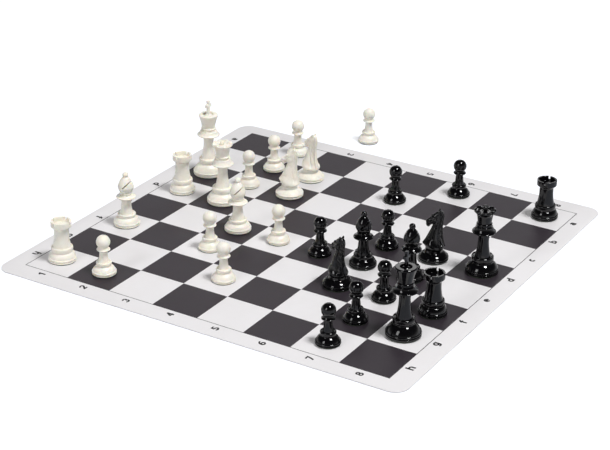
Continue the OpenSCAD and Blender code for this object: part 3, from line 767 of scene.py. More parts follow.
def chequers_tree():
    """Thin plates on every other square of a board."""
    tree, given, out = shape_group("printed_chequers", [
        ("Squares", "Int", 8), ("Square", "Float", 0.05), ("Gap", "Float", 0.0001),
        ("Thickness", "Float", 0.0001), ("Height", "Float", 0.001), ("Material", "Material", None)])
    squares, square = given.outputs["Squares"], given.outputs["Square"]
    span = sum_of(tree, sum_of(tree, squares, 1, "SUBTRACT"), square, "MULTIPLY")
    grid = wire(tree, "GeometryNodeMeshGrid", {
        "Size X": span, "Size Y": span, "Vertices X": squares, "Vertices Y": squares})
    index = wire(tree, "GeometryNodeInputIndex").outputs[0]
    row = sum_of(tree, sum_of(tree, index, squares, "DIVIDE"), 0.0, "FLOOR")
    odd = sum_of(tree, sum_of(tree, index, row), 2.0, "MODULO")
    dark = wire(tree, "FunctionNodeCompare", {0: odd, 1: 0.5}, data_type="FLOAT", operation="LESS_THAN")
    side = sum_of(tree, square, given.outputs["Gap"], "SUBTRACT")
    size = wire(tree, "ShaderNodeCombineXYZ", {"X": side, "Y": side, "Z": given.outputs["Thickness"]})
    plate = wire(tree, "GeometryNodeMeshCube", {"Size": size.outputs[0]})
    placed = wire(tree, "GeometryNodeInstanceOnPoints", {
        "Points": grid.outputs["Mesh"], "Instance": plate.outputs["Mesh"], "Selection": dark.outputs[0]})
    lift = wire(tree, "ShaderNodeCombineXYZ", {"Z": given.outputs["Height"]})
    moved = wire(tree, "GeometryNodeTransform", {
        "Geometry": placed.outputs[0], "Translation": lift.outputs[0]})
    return ended(tree, given, out, moved.outputs[0])


def around_tree(name):
    """Copies of a mesh set evenly round the Z axis."""
    tree, given, out = shape_group(name, [
        ("Copies", "Int", 4), ("Piece", "Object", None), ("Material", "Material", None)])
    copies = given.outputs["Copies"]
    line = wire(tree, "GeometryNodeMeshLine", {"Count": copies, "Offset": (0.0, 0.0, 0.0)})
    index = wire(tree, "GeometryNodeInputIndex").outputs[0]
    angle = sum_of(tree, sum_of(tree, index, math.tau, "MULTIPLY"), copies, "DIVIDE")
    turn = wire(tree, "ShaderNodeCombineXYZ", {"Z": angle})
    piece = wire(tree, "GeometryNodeObjectInfo", {"Object": given.outputs["Piece"]})
    placed = wire(tree, "GeometryNodeInstanceOnPoints", {
        "Points": line.outputs[0], "Instance": piece.outputs["Geometry"], "Rotation": turn.outputs[0]})
    return ended(tree, given, out, placed.outputs[0])


def set_round(data, copies, name):
    """Mesh data of copies of data, set evenly round the Z axis."""
    piece = show(data, name + "_one")
    made = grown(once("set_round", around_tree), name, Copies=copies, Piece=piece)
    bpy.data.objects.remove(piece)
    return made


# ---------------------------------------------------------------- pieces

def place_of(node):
    """Centre of a piece's base in plan, and the height of what it stands on."""
    low, high = (Vector(v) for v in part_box(node))
    ground = 0 if "taken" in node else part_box("mat")[1][2]
    return Vector(((low.x + high.x) / 2, (low.y + high.y) / 2, ground))


def stand(master, node, turn, suffix):
    """A copy of the master, turned and stood where the node stands."""
    data = master.copy()
    data.name = node + suffix
    data.transform(Matrix.Translation(place_of(node)) @ Matrix.Rotation(math.radians(turn), 4, "Z"))
    return show(data, node + suffix)


def fitted(thing, material, body, node=None):
    """Gives an object its material and body, and hides the node that it replaces, if there is one."""
    thing.data.materials.clear()
    thing.data.materials.append(material)
    if node:
        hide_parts(node)
    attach(thing, body)


# How far each pad is turned from the one before, in degrees, so that their cut edges differ.
PAD_TURN = 37


def dress(kind, shape, nodes, suffix="_turned"):
    """Stands a copy of a shape on every node of a kind, and a felt pad under it."""
    cloth = pad_mesh(getattr(bpy.context.scene, "chess_" + kind).base, kind + "_pad")
    for number, (node, turn) in enumerate(nodes.items()):
        side, felt = node.split("_")[0], node + "_felt"
        plastic = ivory_plastic() if side == "white" else black_plastic()
        fitted(stand(shape, node, turn, suffix), plastic, node, node)
        pad = stand(cloth, node, turn + PAD_TURN * number, "_cloth")
        fitted(pad, felt_pad(), node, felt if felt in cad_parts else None)


# The pad's cut edge: its soft corners, the depth and scale of its wavering, and what sets the wavering of one
# size of pad apart from another's.
PAD_CORNER = 0.25 * MM
PAD_WAVER = 0.12 * MM
WAVER_SCALE = 900
WAVER_APART = 1e4


def pad_mesh(base, name):
    """A felt disc with a cut edge that wavers a little."""
    s = bpy.context.scene.chess_standing
    radius, top = base - s.inset, s.felt
    points = [Vector(p) for p in (
        (0, 0.02 * MM), (radius - PAD_CORNER, 0.02 * MM), (radius - 0.06 * MM, 0.2 * MM), (radius, top * 0.5),
        (radius - 0.05 * MM, top - 0.2 * MM), (radius - PAD_CORNER, top), (0, top))]
    data = lathe(name, points, segments=96)
    apart = Vector((base * WAVER_APART, 0, 0))
    for v in data.vertices:
        if math.hypot(v.co.x, v.co.y) > radius * 0.9:
            waver = noise.noise(Vector((v.co.x, v.co.y, v.co.z * 2)) * WAVER_SCALE + apart)
            scale = 1 - PAD_WAVER * (0.5 + 0.5 * waver) / radius
            v.co.x *= scale
            v.co.y *= scale
    return data


def turned(knots, base, name, tail=()):
    """A turned shape from its knots, with more outline points on top."""
    finish = bpy.context.scene.chess_finish
    points = grooved(outline(knots) + list(tail), base)
    return lathe(name, softened(points, finish.fillet), finish.segments)


def pawn_mesh():
    p = bpy.context.scene.chess_pawn
    knots = foot(p.base, p.dome, p.step, p.stem) + collar_knots(p.stem, p.collar)
    return balled(knots, p.base, "pawn", p.head, p.height - p.head, start=-46)


def rook_mesh():
    r = bpy.context.scene.chess_rook
    outer, ledge = r.turret
    lip, past = 0.8 * MM, 2 * MM
    inner, floor = outer - r.well[0], r.height - r.well[1]
    width, depth = r.slot
    knots = foot(r.base, r.dome, r.step, r.stem) + [
        (r.stem[1], r.stem[2], -0.2), (outer - lip, ledge, 0.35), (outer, ledge + lip, 0),
        (outer, r.height, 0), (inner, r.height, 0), (inner, floor, 0), (0, floor, 0)]
    slot = box_mesh(
        "slot", (inner * 0.5, -width / 2, r.height - depth), (outer + past, width / 2, r.height + past))
    return carved(turned(knots, r.base, "rook_body"), [set_round(slot, r.slots, "slots")], "rook")


def bishop_mesh():
    b = bpy.context.scene.chess_bishop
    far = 2 * b.mitre[0]
    width, reach, level = b.cut
    knots = tall_knots(b) + [(b.neck, b.ring[1] + 1 * MM, 0.1), (*b.mitre, 0.2)]
    body = balled(knots, b.base, "bishop_body", b.ball, b.height - b.ball, start=-41.4)
    slant = Matrix.Translation((0, 0, level)) @ Matrix.Rotation(-b.slope, 4, "Y")
    return carved(body, [box_mesh("cut", (-reach, -far, -width / 2), (far, far, width / 2), slant)], "bishop")


def rod(name, radius, start, end, sides=40):
    """A closed cylinder from start to end."""
    mesh = bmesh.new()
    matrix, span = from_to(start, end)
    bmesh.ops.create_cone(
        mesh, cap_ends=True, segments=sides, radius1=radius, radius2=radius, depth=span, matrix=matrix)
    return finished(mesh, name)


def queen_mesh():
    q = bpy.context.scene.chess_queen
    reach, wide, tips = q.coronet
    level, past = tips + 0.8 * MM, 3 * MM
    knots = tall_knots(q) + [
        (q.body[0], q.ring[1] + 1 * MM, 0), (q.body[1], q.body[2], -0.2), (reach, wide, 0.175),
        (reach - 1 * MM, tips, 0), (reach - q.wall, tips, 0), (q.ball * 2, wide, -0.12)]
    body = balled(knots, q.base, "queen_body", q.ball, q.height - q.ball, start=-62)
    scallop = rod("scallop", q.scallop, (q.ball * 1.6, 0, level), (reach + past, 0, level))
    return carved(body, [set_round(scallop, q.points, "scallops")], "queen", edge=0.3 * MM)


def cross_mesh(k):
    """The king's cross: four flared arms with softened edges."""
    span, waist, thickness, level = k.cross
    flare = waist * 0.7
    right = [
        (flare, k.crown[2] - k.hollow[1]), (waist / 2, level - waist / 2), (span / 2, level - flare),
        (span / 2, level + flare), (waist / 2, level + waist / 2), (flare, k.height)]
    ring = right + [(-x, z) for x, z in reversed(right)]
    mesh = bmesh.new()
    sides = [[mesh.verts.new((x, y, z)) for x, z in ring] for y in (-thickness / 2, thickness / 2)]
    for side in sides:
        mesh.faces.new(side)
    ring_faces(mesh, *sides)
    bmesh.ops.recalc_face_normals(mesh, faces=mesh.faces)
    bmesh.ops.bevel(mesh, geom=mesh.edges[:], offset=0.55 * MM, segments=3, profile=0.6, affect="EDGES")
    return finished(mesh, "cross", crease=50)


def king_mesh():
    k = bpy.context.scene.chess_king
    reach, wide, top = k.crown
    hollow, depth = k.hollow
    knots = tall_knots(k) + [
        (k.body, k.ring[1] + 1 * MM, -0.04), (reach, wide, 0.35), (reach - 1.6 * MM, top, 0),
        (hollow, top, 0), (hollow, top - depth, 0), (hollow - 1 * MM, top - depth, 0.35), (0, top, 0)]
    return joined("king", turned(knots, k.base, "king_body"), cross_mesh(k))


# The carved horse, facing +X, in millimetres. Level, back, front, half width and sharpness of each slice.
NECK = (
    (10.4, -9.2, 9.2, 9.2, 1.0), (13.0, -8.9, 8.9, 9.0, 1.0), (14.4, -9.5, 9.0, 9.3, 1.0),
    (15.6, -11.6, 9.5, 10.8, 1.1), (17.0, -11.9, 10.2, 11.3, 1.2), (19.0, -11.1, 11.6, 11.2, 1.4),
    (20.4, -10.6, 12.9, 10.7, 1.6), (21.6, -10.2, 13.2, 10.1, 1.65), (23.4, -9.7, 11.9, 9.2, 1.5),
    (26.0, -9.0, 10.1, 8.2, 1.4), (30.0, -8.2, 8.1, 7.1, 1.3), (34.0, -7.6, 6.2, 6.1, 1.25),
    (38.0, -7.3, 4.4, 5.0, 1.2), (42.0, -7.4, 2.8, 4.4, 1.1), (46.0, -8.0, 1.8, 4.0, 1.1),
    (50.0, -8.6, 1.2, 3.8, 1.0), (54.0, -8.8, 0.6, 3.5, 1.0), (57.0, -8.6, -0.4, 2.9, 1.0),
    (58.6, -7.8, -1.6, 2.1, 1.0))
# Reach, underside, top, half width and sharpness of each slice of the head.
HEAD = (
    (-7.6, 50.6, 57.8, 2.4, 1.0), (-5.6, 48.0, 58.9, 3.5, 1.0), (-3.0, 46.0, 59.0, 4.1, 1.0),
    (-0.4, 44.8, 57.6, 4.2, 1.0), (1.8, 43.9, 55.9, 3.9, 1.0), (4.0, 43.0, 53.7, 3.3, 1.0),
    (6.0, 42.0, 51.6, 2.9, 1.0), (7.8, 41.3, 50.1, 2.9, 1.0), (9.2, 41.7, 49.1, 2.7, 1.0),
    (10.0, 43.3, 47.9, 2.0, 1.0))
# Reach, distance from the middle, level, and the three radii of each swelling, made on both sides: cheek,
# nose, chin, brow and eye.
SWELLINGS = (
    (-0.6, 1.9, 47.2, 4.3, 2.9, 4.9), (8.0, 1.3, 47.1, 2.3, 2.1, 2.2), (7.4, 1.0, 42.9, 2.1, 2.0, 1.8),
    (2.6, 2.5, 53.3, 2.0, 1.6, 1.3), (3.2, 3.0, 52.0, 1.0, 0.95, 0.9))
# The points and the end radii of an ear, made on both sides.
EAR_ROOT = (-4.2, 1.9, 56.6)
EAR_TIP = (-5.4, 2.4, 61.2)
EAR_RADII = (2.0, 0.9)
# The mane's outline behind the neck, from the forelock down, and back up inside the neck.
MANE = (
    (-1.0, 57.4), (-3.6, 58.8), (-6.8, 59.2), (-9.2, 57.6), (-10.1, 54.0), (-9.6, 48.0), (-8.9, 41.0),
    (-9.1, 34.0), (-10.2, 26.0), (-12.6, 16.6), (-7.5, 18.0), (-5.6, 30.0), (-5.0, 40.0), (-5.2, 52.0),
    (-2.2, 56.5))
MANE_SLICES = (-1.7, -1.2, 0, 1.2, 1.7)
# Carved strokes in the side view: half width, depth, and the points along each: mouth, cheek, eye, nostril,
# the mane's edge, its locks, chest and throat.
STROKES = (
    (0.45, 0.8, ((10.6, 44.7), (7.8, 45.0), (6.2, 44.4))),
    (0.6, 0.6, ((4.6, 43.8), (3.6, 46.8), (1.8, 49.8), (-0.8, 51.2))),
    (0.4, 0.4, ((4.8, 52.9), (3.2, 54.3), (1.2, 53.8), (1.8, 52.0), (3.6, 50.9), (4.9, 51.6))),
    (0.55, 0.6, ((9.3, 47.7), (8.8, 47.1))),
    (0.8, 0.9, (
        (-5.4, 57.6), (-6.2, 53.0), (-5.6, 47.0), (-4.4, 41.0), (-3.6, 34.0), (-5.2, 26.0), (-7.6, 19.5))),
    (0.6, 0.34, ((-6.2, 54.5), (-7.6, 52.8), (-9.2, 50.2))),
    (0.6, 0.34, ((-5.8, 49.8), (-7.2, 47.4), (-8.6, 44.6))),
    (0.6, 0.34, ((-5.0, 45.0), (-6.6, 42.2), (-8.0, 39.0))),
    (0.6, 0.34, ((-4.6, 39.8), (-6.4, 36.6), (-8.0, 33.2))),
    (0.6, 0.34, ((-4.6, 34.4), (-6.8, 30.8), (-9.0, 27.0))),
    (0.6, 0.3, ((-5.2, 57.6), (-7.2, 56.8), (-8.8, 55.0))),
    (0.6, 0.5, ((12.6, 22.6), (7.6, 26.6), (2.6, 27.6))),
    (0.45, 0.35, ((3.4, 39.4), (1.0, 40.6), (-1.6, 40.0))))


# How far from the middle plane a stroke starts, and how many half widths it reaches.
FLANK = 0.4
STROKE_REACH = 3


def oval(low, high, half, sharp, count=48):
    """Points of an oval from low to high: how far along it and how far across it each one is."""
    ring = []
    for i in range(count):
        angle = math.tau * i / count
        across = half * math.copysign(abs(math.sin(angle)) ** sharp, math.sin(angle))
        ring.append(((low + high) / 2 + (high - low) / 2 * math.cos(angle), across))
    return ring


def lofted(mesh, rings):
    """Adds a closed skin over rings of the same number of points."""
    rows = [[mesh.verts.new(Vector(p) * MM) for p in ring] for ring in rings]
    for a, b in zip(rows, rows[1:]):
        ring_faces(mesh, a, b)
    mesh.faces.new(list(reversed(rows[0])))
    mesh.faces.new(rows[-1])


def mirrored_pair(place):
    """A place in millimetres on the right side and on the left."""
    x, y, z = place
    return [Vector((x, side * y, z)) * MM for side in (-1, 1)]


def horse_forms():
    """The overlapping forms of the horse: neck, head, swellings, ears and mane."""
    mesh = bmesh.new()
    lofted(mesh, [[(along, across, level) for along, across in oval(back, front, half, sharp)]
                  for level, back, front, half, sharp in NECK])
    lofted(mesh, [[(reach, across, along) for along, across in oval(low, top, half, sharp)]
                  for reach, low, top, half, sharp in HEAD])
    for *place, long, wide, tall in SWELLINGS:
        shape = Matrix.Diagonal((long * MM, wide * MM, tall * MM, 1))
        for middle in mirrored_pair(place):
            bmesh.ops.create_uvsphere(
                mesh, u_segments=24, v_segments=16, radius=1, matrix=Matrix.Translation(middle) @ shape)
    for root, tip in zip(mirrored_pair(EAR_ROOT), mirrored_pair(EAR_TIP)):
        matrix, span = from_to(root, tip)
        bmesh.ops.create_cone(mesh, cap_ends=True, segments=20, radius1=EAR_RADII[0] * MM,
                              radius2=EAR_RADII[1] * MM, depth=span, matrix=matrix)
    lofted(mesh, [[(x, y, z) for x, z in MANE] for y in MANE_SLICES])
    bmesh.ops.recalc_face_normals(mesh, faces=mesh.faces)
    return mesh_data(mesh, "horse")


def distance_to(stroke, x, z):
    """Distance from a point to a line of points, in the side view."""
    best = math.inf
    for (ax, az), (bx, bz) in zip(stroke, stroke[1:]):
        dx, dz = bx - ax, bz - az
        t = max(0.0, min(1.0, ((x - ax) * dx + (z - az) * dz) / (dx * dx + dz * dz)))
        best = min(best, math.hypot(x - ax - t * dx, z - az - t * dz))
    return best


def stroke_depth(x, y, z):
    """How deep the strokes cut at a point, in millimetres."""
    depth = 0.0
    if abs(y) > FLANK:
        for width, deep, points in STROKES:
            away = distance_to(points, x, z) / width
            if away < STROKE_REACH:
                depth = max(depth, deep * math.exp(-away * away))
    return depth


def horse_mesh(k):
    """The horse's head, neck and shoulders: its forms made one skin, eased, and the strokes cut into it."""
    thing = show(horse_forms(), "horse")
    grain = thing.modifiers.new("grain", "REMESH")
    grain.mode = "VOXEL"
    grain.voxel_size = k.grain
    ease = thing.modifiers.new("ease", "SMOOTH")
    ease.factor = 0.5
    ease.iterations = 5
    data = baked(thing, "horse")
    moves = [v.normal * stroke_depth(*(v.co / MM)) * MM for v in data.vertices]
    for v, move in zip(data.vertices, moves):
        v.co -= move
    data.update()
    return data


def knight_mesh():
    """The knight's base, waist band and carved horse."""
    k = bpy.context.scene.chess_knight
    knots = base_knots(k.base, k.dome) + [
        (k.waist[0], k.dome[1] + 1 * MM, 0), (*k.waist, 0), (0, k.waist[1], 0)]
    return joined("knight", turned(knots, k.base, "knight_base"), horse_mesh(k))


# ---------------------------------------------------------------- stage

# Places and grey levels of the sky from the horizon to overhead, as it lights the set and as gloss shows it.
SOFT_SKY = ((0.0, 1.0), (0.16, 0.95), (0.38, 0.42), (0.62, 0.17), (1.0, 0.11))
GLOSS_SKY = ((0.0, 1.0), (0.03, 0.9), (0.12, 0.5), (0.3, 0.1), (0.5, 0.03), (1.0, 0.02))
# The soft boxes: how far each stands to the camera's right, towards the camera and up, its shape, its width
# and height in metres, and its power in watts.
LAMPS = {
    "key": ((0.335, 0.2, 0.92), "ELLIPSE", 1.35, 1.35, 278),
    "fill": ((-0.58, 0.6, 0.55), "RECTANGLE", 1.5, 2.6, 65),
    "back": ((0, -0.87, 0.5), "RECTANGLE", 4.4, 1.3, 32),
}


def set_up(name, data, place, turn):
    """Puts a lamp or camera into the scene."""
    thing = show(data, name)
    thing.location = place
    thing.rotation_euler = turn
    return thing


def make_floor(s):
    """A pale floor that takes shadows and looks paler than it is lit."""
    mesh = bmesh.new()
    bmesh.ops.create_grid(mesh, x_segments=1, y_segments=1, size=s.floor_size / 2)
    floor = show(finished(mesh, "floor"), "floor")
    material = bpy.data.materials.new("pale_floor")
    material.use_nodes = True
    tree = material.node_tree
    tree.nodes.clear()
    lit = wire(tree, "ShaderNodeBsdfDiffuse", {"Color": four(s.floor)})
    path = wire(tree, "ShaderNodeLightPath").outputs
    bent = sum_of(tree, path["Is Glossy Ray"], path["Is Transmission Ray"])
    seen = sum_of(tree, path["Is Camera Ray"], sum_of(tree, bent, s.mirrored, "MULTIPLY"))
    glow = wire(tree, "ShaderNodeEmission", {"Strength": sum_of(tree, seen, s.lift, "MULTIPLY")})
    both = wire(tree, "ShaderNodeAddShader", {0: lit.outputs[0], 1: glow.outputs[0]})
    wire(tree, "ShaderNodeOutputMaterial", {"Surface": both.outputs[0]})
    floor.data.materials.append(material)


def greys(tree, value, stops):
    """Grey levels that follow a value from 0 to 1."""
    ramp = wire(tree, "ShaderNodeValToRGB", {"Fac": value})
    marks = ramp.color_ramp.elements
    for mark, (at, level) in zip(marks, (stops[0], stops[-1])):
        mark.position = at
        mark.color = (level, level, level, 1.0)
    for at, level in stops[1:-1]:
        marks.new(at).color = (level, level, level, 1.0)
    return ramp.outputs["Color"]


def make_sky(s):
    """Light from all round: white low down, dim overhead, and white where the camera sees it."""
    world = bpy.data.worlds.new("studio")
    bpy.context.scene.world = world
    world.use_nodes = True
    tree = world.node_tree
    tree.nodes.clear()
    place = wire(tree, "ShaderNodeTexCoord").outputs["Generated"]
    height = wire(tree, "ShaderNodeSeparateXYZ", {0: place}).outputs["Z"]
    path = wire(tree, "ShaderNodeLightPath").outputs
    soft, gloss, white = [
        wire(tree, "ShaderNodeBackground", {"Color": hue, "Strength": strength}).outputs[0]
        for hue, strength in ((greys(tree, height, SOFT_SKY), s.sky), (greys(tree, height, GLOSS_SKY), s.sky),
                              ((1.0, 1.0, 1.0, 1.0), 1.0))]
    sky = wire(tree, "ShaderNodeMixShader", {0: path["Is Glossy Ray"], 1: soft, 2: gloss})
    mixed = wire(tree, "ShaderNodeMixShader", {0: path["Is Camera Ray"], 1: sky.outputs[0], 2: white})
    wire(tree, "ShaderNodeOutputWorld", {"Surface": mixed.outputs[0]})


def make_lights(s):
    """Three soft boxes far off: one nearly overhead, a tall one in front to the left, a wide one behind."""
    heading = Vector(s.eye)
    heading.z = 0
    heading.normalize()
    right = Vector((-heading.y, heading.x, 0))
    up = Vector((0, 0, 1))
    for name, ((aside, near, high), shape, width, tall, power) in LAMPS.items():
        toward = right * aside + heading * near + up * high
        lamp = bpy.data.lights.new(name + "_box", "AREA")
        lamp.shape = shape
        lamp.size = width
        lamp.size_y = tall
        lamp.energy = power * getattr(s, name)
        set_up(name + "_box", lamp, toward.normalized() * s.reach, toward.to_track_quat("Z", "Y").to_euler())


def make_camera(s):
    camera = bpy.data.cameras.new("camera")
    camera.lens = s.lens
    camera.sensor_fit = "HORIZONTAL"
    camera.sensor_width = 36
    camera.clip_end = 50
    bpy.context.scene.camera = set_up("camera", camera, s.eye, Euler(s.gaze))


class CHESS_OT_stage(bpy.types.Operator):
    """Make the floor, the soft lights, the sky and the camera"""
    bl_idname = "chess.stage"
    bl_label = "Stage"

    def execute(self, context):
        s = context.scene.chess_stage
        make_floor(s)
        make_sky(s)
        make_lights(s)
        make_camera(s)
        context.scene.view_settings.view_transform = "Standard"
        return {"FINISHED"}


# ---------------------------------------------------------------- mat

# The rounding of the sheet's cut edge: how far in and how far up each of its rings lies, in roundings.
SHEET_EDGE = ((1, 0), (0.3, 0.3), (0, 1))


def rounded_ring(side, radius, steps=14):
    """Corners of a rounded square, anticlockwise."""
    ring = []
    for quarter, (x, y) in enumerate(((1, 1), (-1, 1), (-1, -1), (1, -1))):
        for i in range(steps + 1):
            angle = math.pi / 2 * (quarter + i / steps)
            ring.append(((side / 2 - radius) * x + radius * math.cos(angle),
                         (side / 2 - radius) * y + radius * math.sin(angle)))
    return ring


class CHESS_OT_sheet(bpy.types.Operator):
    """Make the vinyl sheet with its rounded corners and cut edge"""
    bl_idname = "chess.sheet"
    bl_label = "Vinyl sheet"

    def execute(self, context):
        s = context.scene.chess_mat
        low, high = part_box("mat")
        side, thickness = high[0] - low[0], high[2] - low[2]
        levels = [(k * s.edge, up * s.edge) for k, up in SHEET_EDGE]
        levels += [(inset, thickness - level) for inset, level in reversed(levels)]
        mesh = bmesh.new()
        rings = [[mesh.verts.new((x, y, low[2] + level))
                  for x, y in rounded_ring(side - 2 * inset, s.corner - inset)] for inset, level in levels]
        for a, b in zip(rings, rings[1:]):
            ring_faces(mesh, a, b)
        mesh.faces.new(list(reversed(rings[0])))
        mesh.faces.new(rings[-1])
        bmesh.ops.rotate(mesh, verts=mesh.verts, matrix=Matrix.Rotation(s.askew, 3, "Z"))
        sheet = show(finished(mesh, "vinyl_sheet", crease=60), "vinyl_sheet")
        fitted(sheet, sheet_vinyl(), "board", "mat")
        return {"FINISHED"}


class CHESS_OT_print(bpy.types.Operator):
    """Print the dark squares and the line round them"""
    bl_idname = "chess.print_squares"
    bl_label = "Printed squares"

    def execute(self, context):
        s = context.scene.chess_mat
        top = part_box("mat")[1][2]
        ink = printed_ink()
        tiles = grown(chequers_tree(), "printed_squares", Squares=s.squares, Square=s.square, Gap=s.gap,
                      Thickness=2 * s.ink, Height=top, Material=ink)
        fitted(show(tiles, "printed_squares"), ink, "board", "dark_squares")
        field = s.squares * s.square
        mesh = bmesh.new()
        for turn in range(4):
            long = field if turn % 2 else field + 2 * s.line
            matrix = Matrix.Rotation(math.pi / 2 * turn, 4, "Z") @ Matrix.Translation(
                (field / 2 + s.line / 2, 0, top)) @ Matrix.Diagonal((s.line, long, 2 * s.ink, 1))
            bmesh.ops.create_cube(mesh, size=1, matrix=matrix)
        line = show(finished(mesh, "printed_line"), "printed_line")
        fitted(line, black_ink(), "board", "border_line")
        return {"FINISHED"}


# Strokes of each printed sign in a box one unit tall. A stroke has points, and arcs as a centre, two radii
# and the angles where they start and end. One that ends in a full circle is closed.
FULL_CIRCLE = 360
BOWL = (0.31, 0.36, 0.21, 0.26, 0, FULL_CIRCLE)
SIGNS = {
    "1": (((0.1, 0.68), (0.33, 0.86)), ((0.38, 1.0), (0.38, 0.0))),
    "2": (((0.31, 0.69, 0.21, 0.21, 175, -35), (0.16, 0.14)), ((0.02, 0.1), (0.56, 0.1))),
    "3": (((0.29, 0.7, 0.19, 0.2, 165, -75),), ((0.29, 0.31, 0.215, 0.21, 80, -165),)),
    "4": (((0.42, 1.0), (0.42, 0.0)), ((0.4, 0.93), (0.1, 0.34)), ((0.02, 0.3), (0.58, 0.3))),
    "5": (((0.12, 0.9), (0.54, 0.9)), ((0.2, 0.95), (0.16, 0.5)), ((0.29, 0.33, 0.215, 0.23, 125, -160),)),
    "6": (((0.44, 0.42, 0.34, 0.48, 78, 180), (0.1, 0.32)), ((0.31, 0.32, 0.21, 0.22, 0, FULL_CIRCLE),)),
    "7": (((0.02, 0.9), (0.56, 0.9)), ((0.47, 0.85), (0.24, 0.0))),
    "8": (((0.31, 0.7, 0.175, 0.2, 0, FULL_CIRCLE),), ((0.31, 0.31, 0.21, 0.21, 0, FULL_CIRCLE),)),
    "a": (((0.3, 0.46, 0.17, 0.16, 165, 0), (0.47, 0.0)), ((0.28, 0.24, 0.18, 0.14, 0, FULL_CIRCLE),)),
    "b": (((0.1, 1.0), (0.1, 0.0)), (BOWL,)),
    "c": (((0.31, 0.36, 0.21, 0.26, 48, 312),),),
    "d": (((0.52, 1.0), (0.52, 0.0)), (BOWL,)),
    "e": (((0.31, 0.36, 0.21, 0.26, -18, 305),), ((0.12, 0.36), (0.52, 0.36))),
    "f": (((0.36, 0.76, 0.16, 0.14, 75, 180), (0.2, 0.0)), ((0.0, 0.62), (0.42, 0.62))),
    "g": (((0.52, 0.7), (0.52, 0.04), (0.31, 0.0, 0.21, 0.16, 0, -140)), (BOWL,)),
    "h": (((0.1, 1.0), (0.1, 0.0)), ((0.31, 0.42, 0.21, 0.22, 175, 0), (0.52, 0.0))),
}
# The step along an arc, in degrees.
ARC_STEP = 20


def stroke_points(stroke):
    """Points along a stroke and its arcs."""
    points = []
    for item in stroke:
        if len(item) == 2:
            points.append((*item, 0))
            continue
        x, y, across, up, start, end = item
        steps = max(2, round(abs(end - start) / ARC_STEP))
        angles = [math.radians(start + (end - start) * i / steps) for i in range(steps + 1)]
        points += [(x + across * math.cos(a), y + up * math.sin(a), 0) for a in angles]
    return points


def strokes_tree(name):
    """Turns lines into one closed body of square strokes."""
    tree, given, out = shape_group(name, [
        ("Lines", "Geometry", None), ("Width", "Float", 0.2), ("Material", "Material", None)])
    line = wire(tree, "GeometryNodeMeshToCurve", {0: given.outputs["Lines"]})
    level = wire(tree, "GeometryNodeSetCurveNormal", {0: line.outputs[0]}, mode="Z_UP")
    square = wire(tree, "GeometryNodeCurvePrimitiveQuadrilateral", {
        "Width": given.outputs["Width"], "Height": given.outputs["Width"]})
    body = wire(tree, "GeometryNodeCurveToMesh", {
        "Curve": level.outputs[0], "Profile Curve": square.outputs[0], "Fill Caps": True})
    union = wire(
        tree, "GeometryNodeMeshBoolean", {"Self Intersection": True}, operation="UNION", solver="EXACT")
    tree.links.new(body.outputs[0], union.inputs[1])
    return ended(tree, given, out, union.outputs[0])


def label_mesh(sign, height, s):
    """Mesh data of one printed sign, centred, with its top towards +Y."""
    lines = bmesh.new()
    for stroke in SIGNS[sign]:
        points = stroke_points(stroke)
        closed = stroke[-1][-1] == FULL_CIRCLE
        corners = [lines.verts.new(p) for p in (points[:-1] if closed else points)]
        for a, b in zip(corners, corners[1:] + corners[:1] if closed else corners[1:]):
            lines.edges.new((a, b))
    data = grown(once("bold_strokes", strokes_tree), "sign", mesh_data(lines, "sign"),
                 Width=s.bold, Material=black_ink())
    xs = [v.co.x for v in data.vertices]
    ys = [v.co.y for v in data.vertices]
    data.transform(Matrix.Diagonal((height * s.wide, height, s.ink / s.bold, 1))
                   @ Matrix.Translation((-(min(xs) + max(xs)) / 2, -(min(ys) + max(ys)) / 2, 0)))
    return data


class CHESS_OT_labels(bpy.types.Operator):
    """Print the rank numbers and file letters in the border"""
    bl_idname = "chess.labels"
    bl_label = "Border labels"

    def execute(self, context):
        s = context.scene.chess_mat
        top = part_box("mat")[1][2] + s.ink / 2
        half = s.squares * s.square / 2
        near, far, last, first = s.outside
        mesh = bmesh.new()
        for i in range(s.squares):
            middle = (i + 0.5) * s.square - half
            digit, letter = str(i + 1), FILES[i]
            for sign, height, x, y, turn in (
                    (digit, s.digit, half + near, middle, 180),
                    (digit, s.digit, -half - far, middle, 0),
                    (letter, s.letter, middle, half + last, 180),
                    (letter, s.letter, middle, -half - first, 0)):
                data = label_mesh(sign, height, s)
                data.transform(Matrix.Translation((x, y, top)) @ Matrix.Rotation(math.radians(turn), 4, "Z"))
                mesh.from_mesh(data)
        labels = show(finished(mesh, "border_labels"), "border_labels")
        fitted(labels, black_ink(), "board")
        return {"FINISHED"}


# ---------------------------------------------------------------- operators for the pieces

class CHESS_OT_pawns(bpy.types.Operator):
    """Stand the fifteen pawns, each with its felt pad"""
    bl_idname = "chess.pawns"
    bl_label = "Pawns"

    def execute(self, context):
        dress("pawn", pawn_mesh(), PAWNS)
        return {"FINISHED"}


class CHESS_OT_rooks(bpy.types.Operator):
    """Stand the four rooks, each with its felt pad"""
    bl_idname = "chess.rooks"
    bl_label = "Rooks"

    def execute(self, context):
        dress("rook", rook_mesh(), ROOKS)
        return {"FINISHED"}


class CHESS_OT_bishops(bpy.types.Operator):
    """Stand the four bishops, each with its felt pad"""
    bl_idname = "chess.bishops"
    bl_label = "Bishops"

    def execute(self, context):
        dress("bishop", bishop_mesh(), BISHOPS)
        return {"FINISHED"}


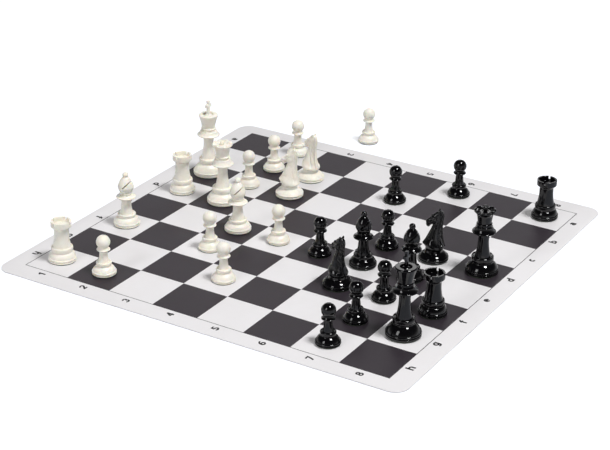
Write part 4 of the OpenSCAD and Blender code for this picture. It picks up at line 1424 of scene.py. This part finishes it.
class CHESS_OT_knights(bpy.types.Operator):
    """Stand the four knights, each with its felt pad"""
    bl_idname = "chess.knights"
    bl_label = "Knights"

    def execute(self, context):
        dress("knight", knight_mesh(), KNIGHTS, "_carved")
        return {"FINISHED"}


class CHESS_OT_queens(bpy.types.Operator):
    """Stand the two queens, each with its felt pad"""
    bl_idname = "chess.queens"
    bl_label = "Queens"

    def execute(self, context):
        dress("queen", queen_mesh(), QUEENS)
        return {"FINISHED"}


class CHESS_OT_kings(bpy.types.Operator):
    """Stand the two kings, each with its felt pad"""
    bl_idname = "chess.kings"
    bl_label = "Kings"

    def execute(self, context):
        dress("king", king_mesh(), KINGS)
        return {"FINISHED"}


OPERATORS = (
    CHESS_OT_stage, CHESS_OT_sheet, CHESS_OT_print, CHESS_OT_labels, CHESS_OT_pawns, CHESS_OT_rooks,
    CHESS_OT_bishops, CHESS_OT_knights, CHESS_OT_queens, CHESS_OT_kings)


class CHESS_PT_panel(bpy.types.Panel):
    """Lists the settings and the makers"""
    bl_idname = "CHESS_PT_panel"
    bl_label = "Chess Set"
    bl_space_type = "VIEW_3D"
    bl_region_type = "UI"
    bl_category = "Chess Set"

    def draw(self, context):
        for maker in OPERATORS:
            self.layout.operator(maker.bl_idname)
        for name, group in SETTINGS.items():
            box = self.layout.box()
            box.label(text=name.replace("_", " "))
            for field in group.__annotations__:
                box.prop(getattr(context.scene, name), field)


def register():
    for group in SETTINGS.values():
        bpy.utils.register_class(group)
    for cls in (*OPERATORS, CHESS_PT_panel):
        bpy.utils.register_class(cls)
    for name, group in SETTINGS.items():
        setattr(bpy.types.Scene, name, bpy.props.PointerProperty(type=group))


def unregister():
    for name in SETTINGS:
        delattr(bpy.types.Scene, name)
    for cls in (CHESS_PT_panel, *reversed(OPERATORS), *reversed(SETTINGS.values())):
        bpy.utils.unregister_class(cls)


def main():
    register()
    for make in ("stage", "sheet", "print_squares", "labels",
                 "pawns", "rooks", "bishops", "knights", "queens", "kings"):
        getattr(bpy.ops.chess, make)()


if __name__ == "__main__":
    main()
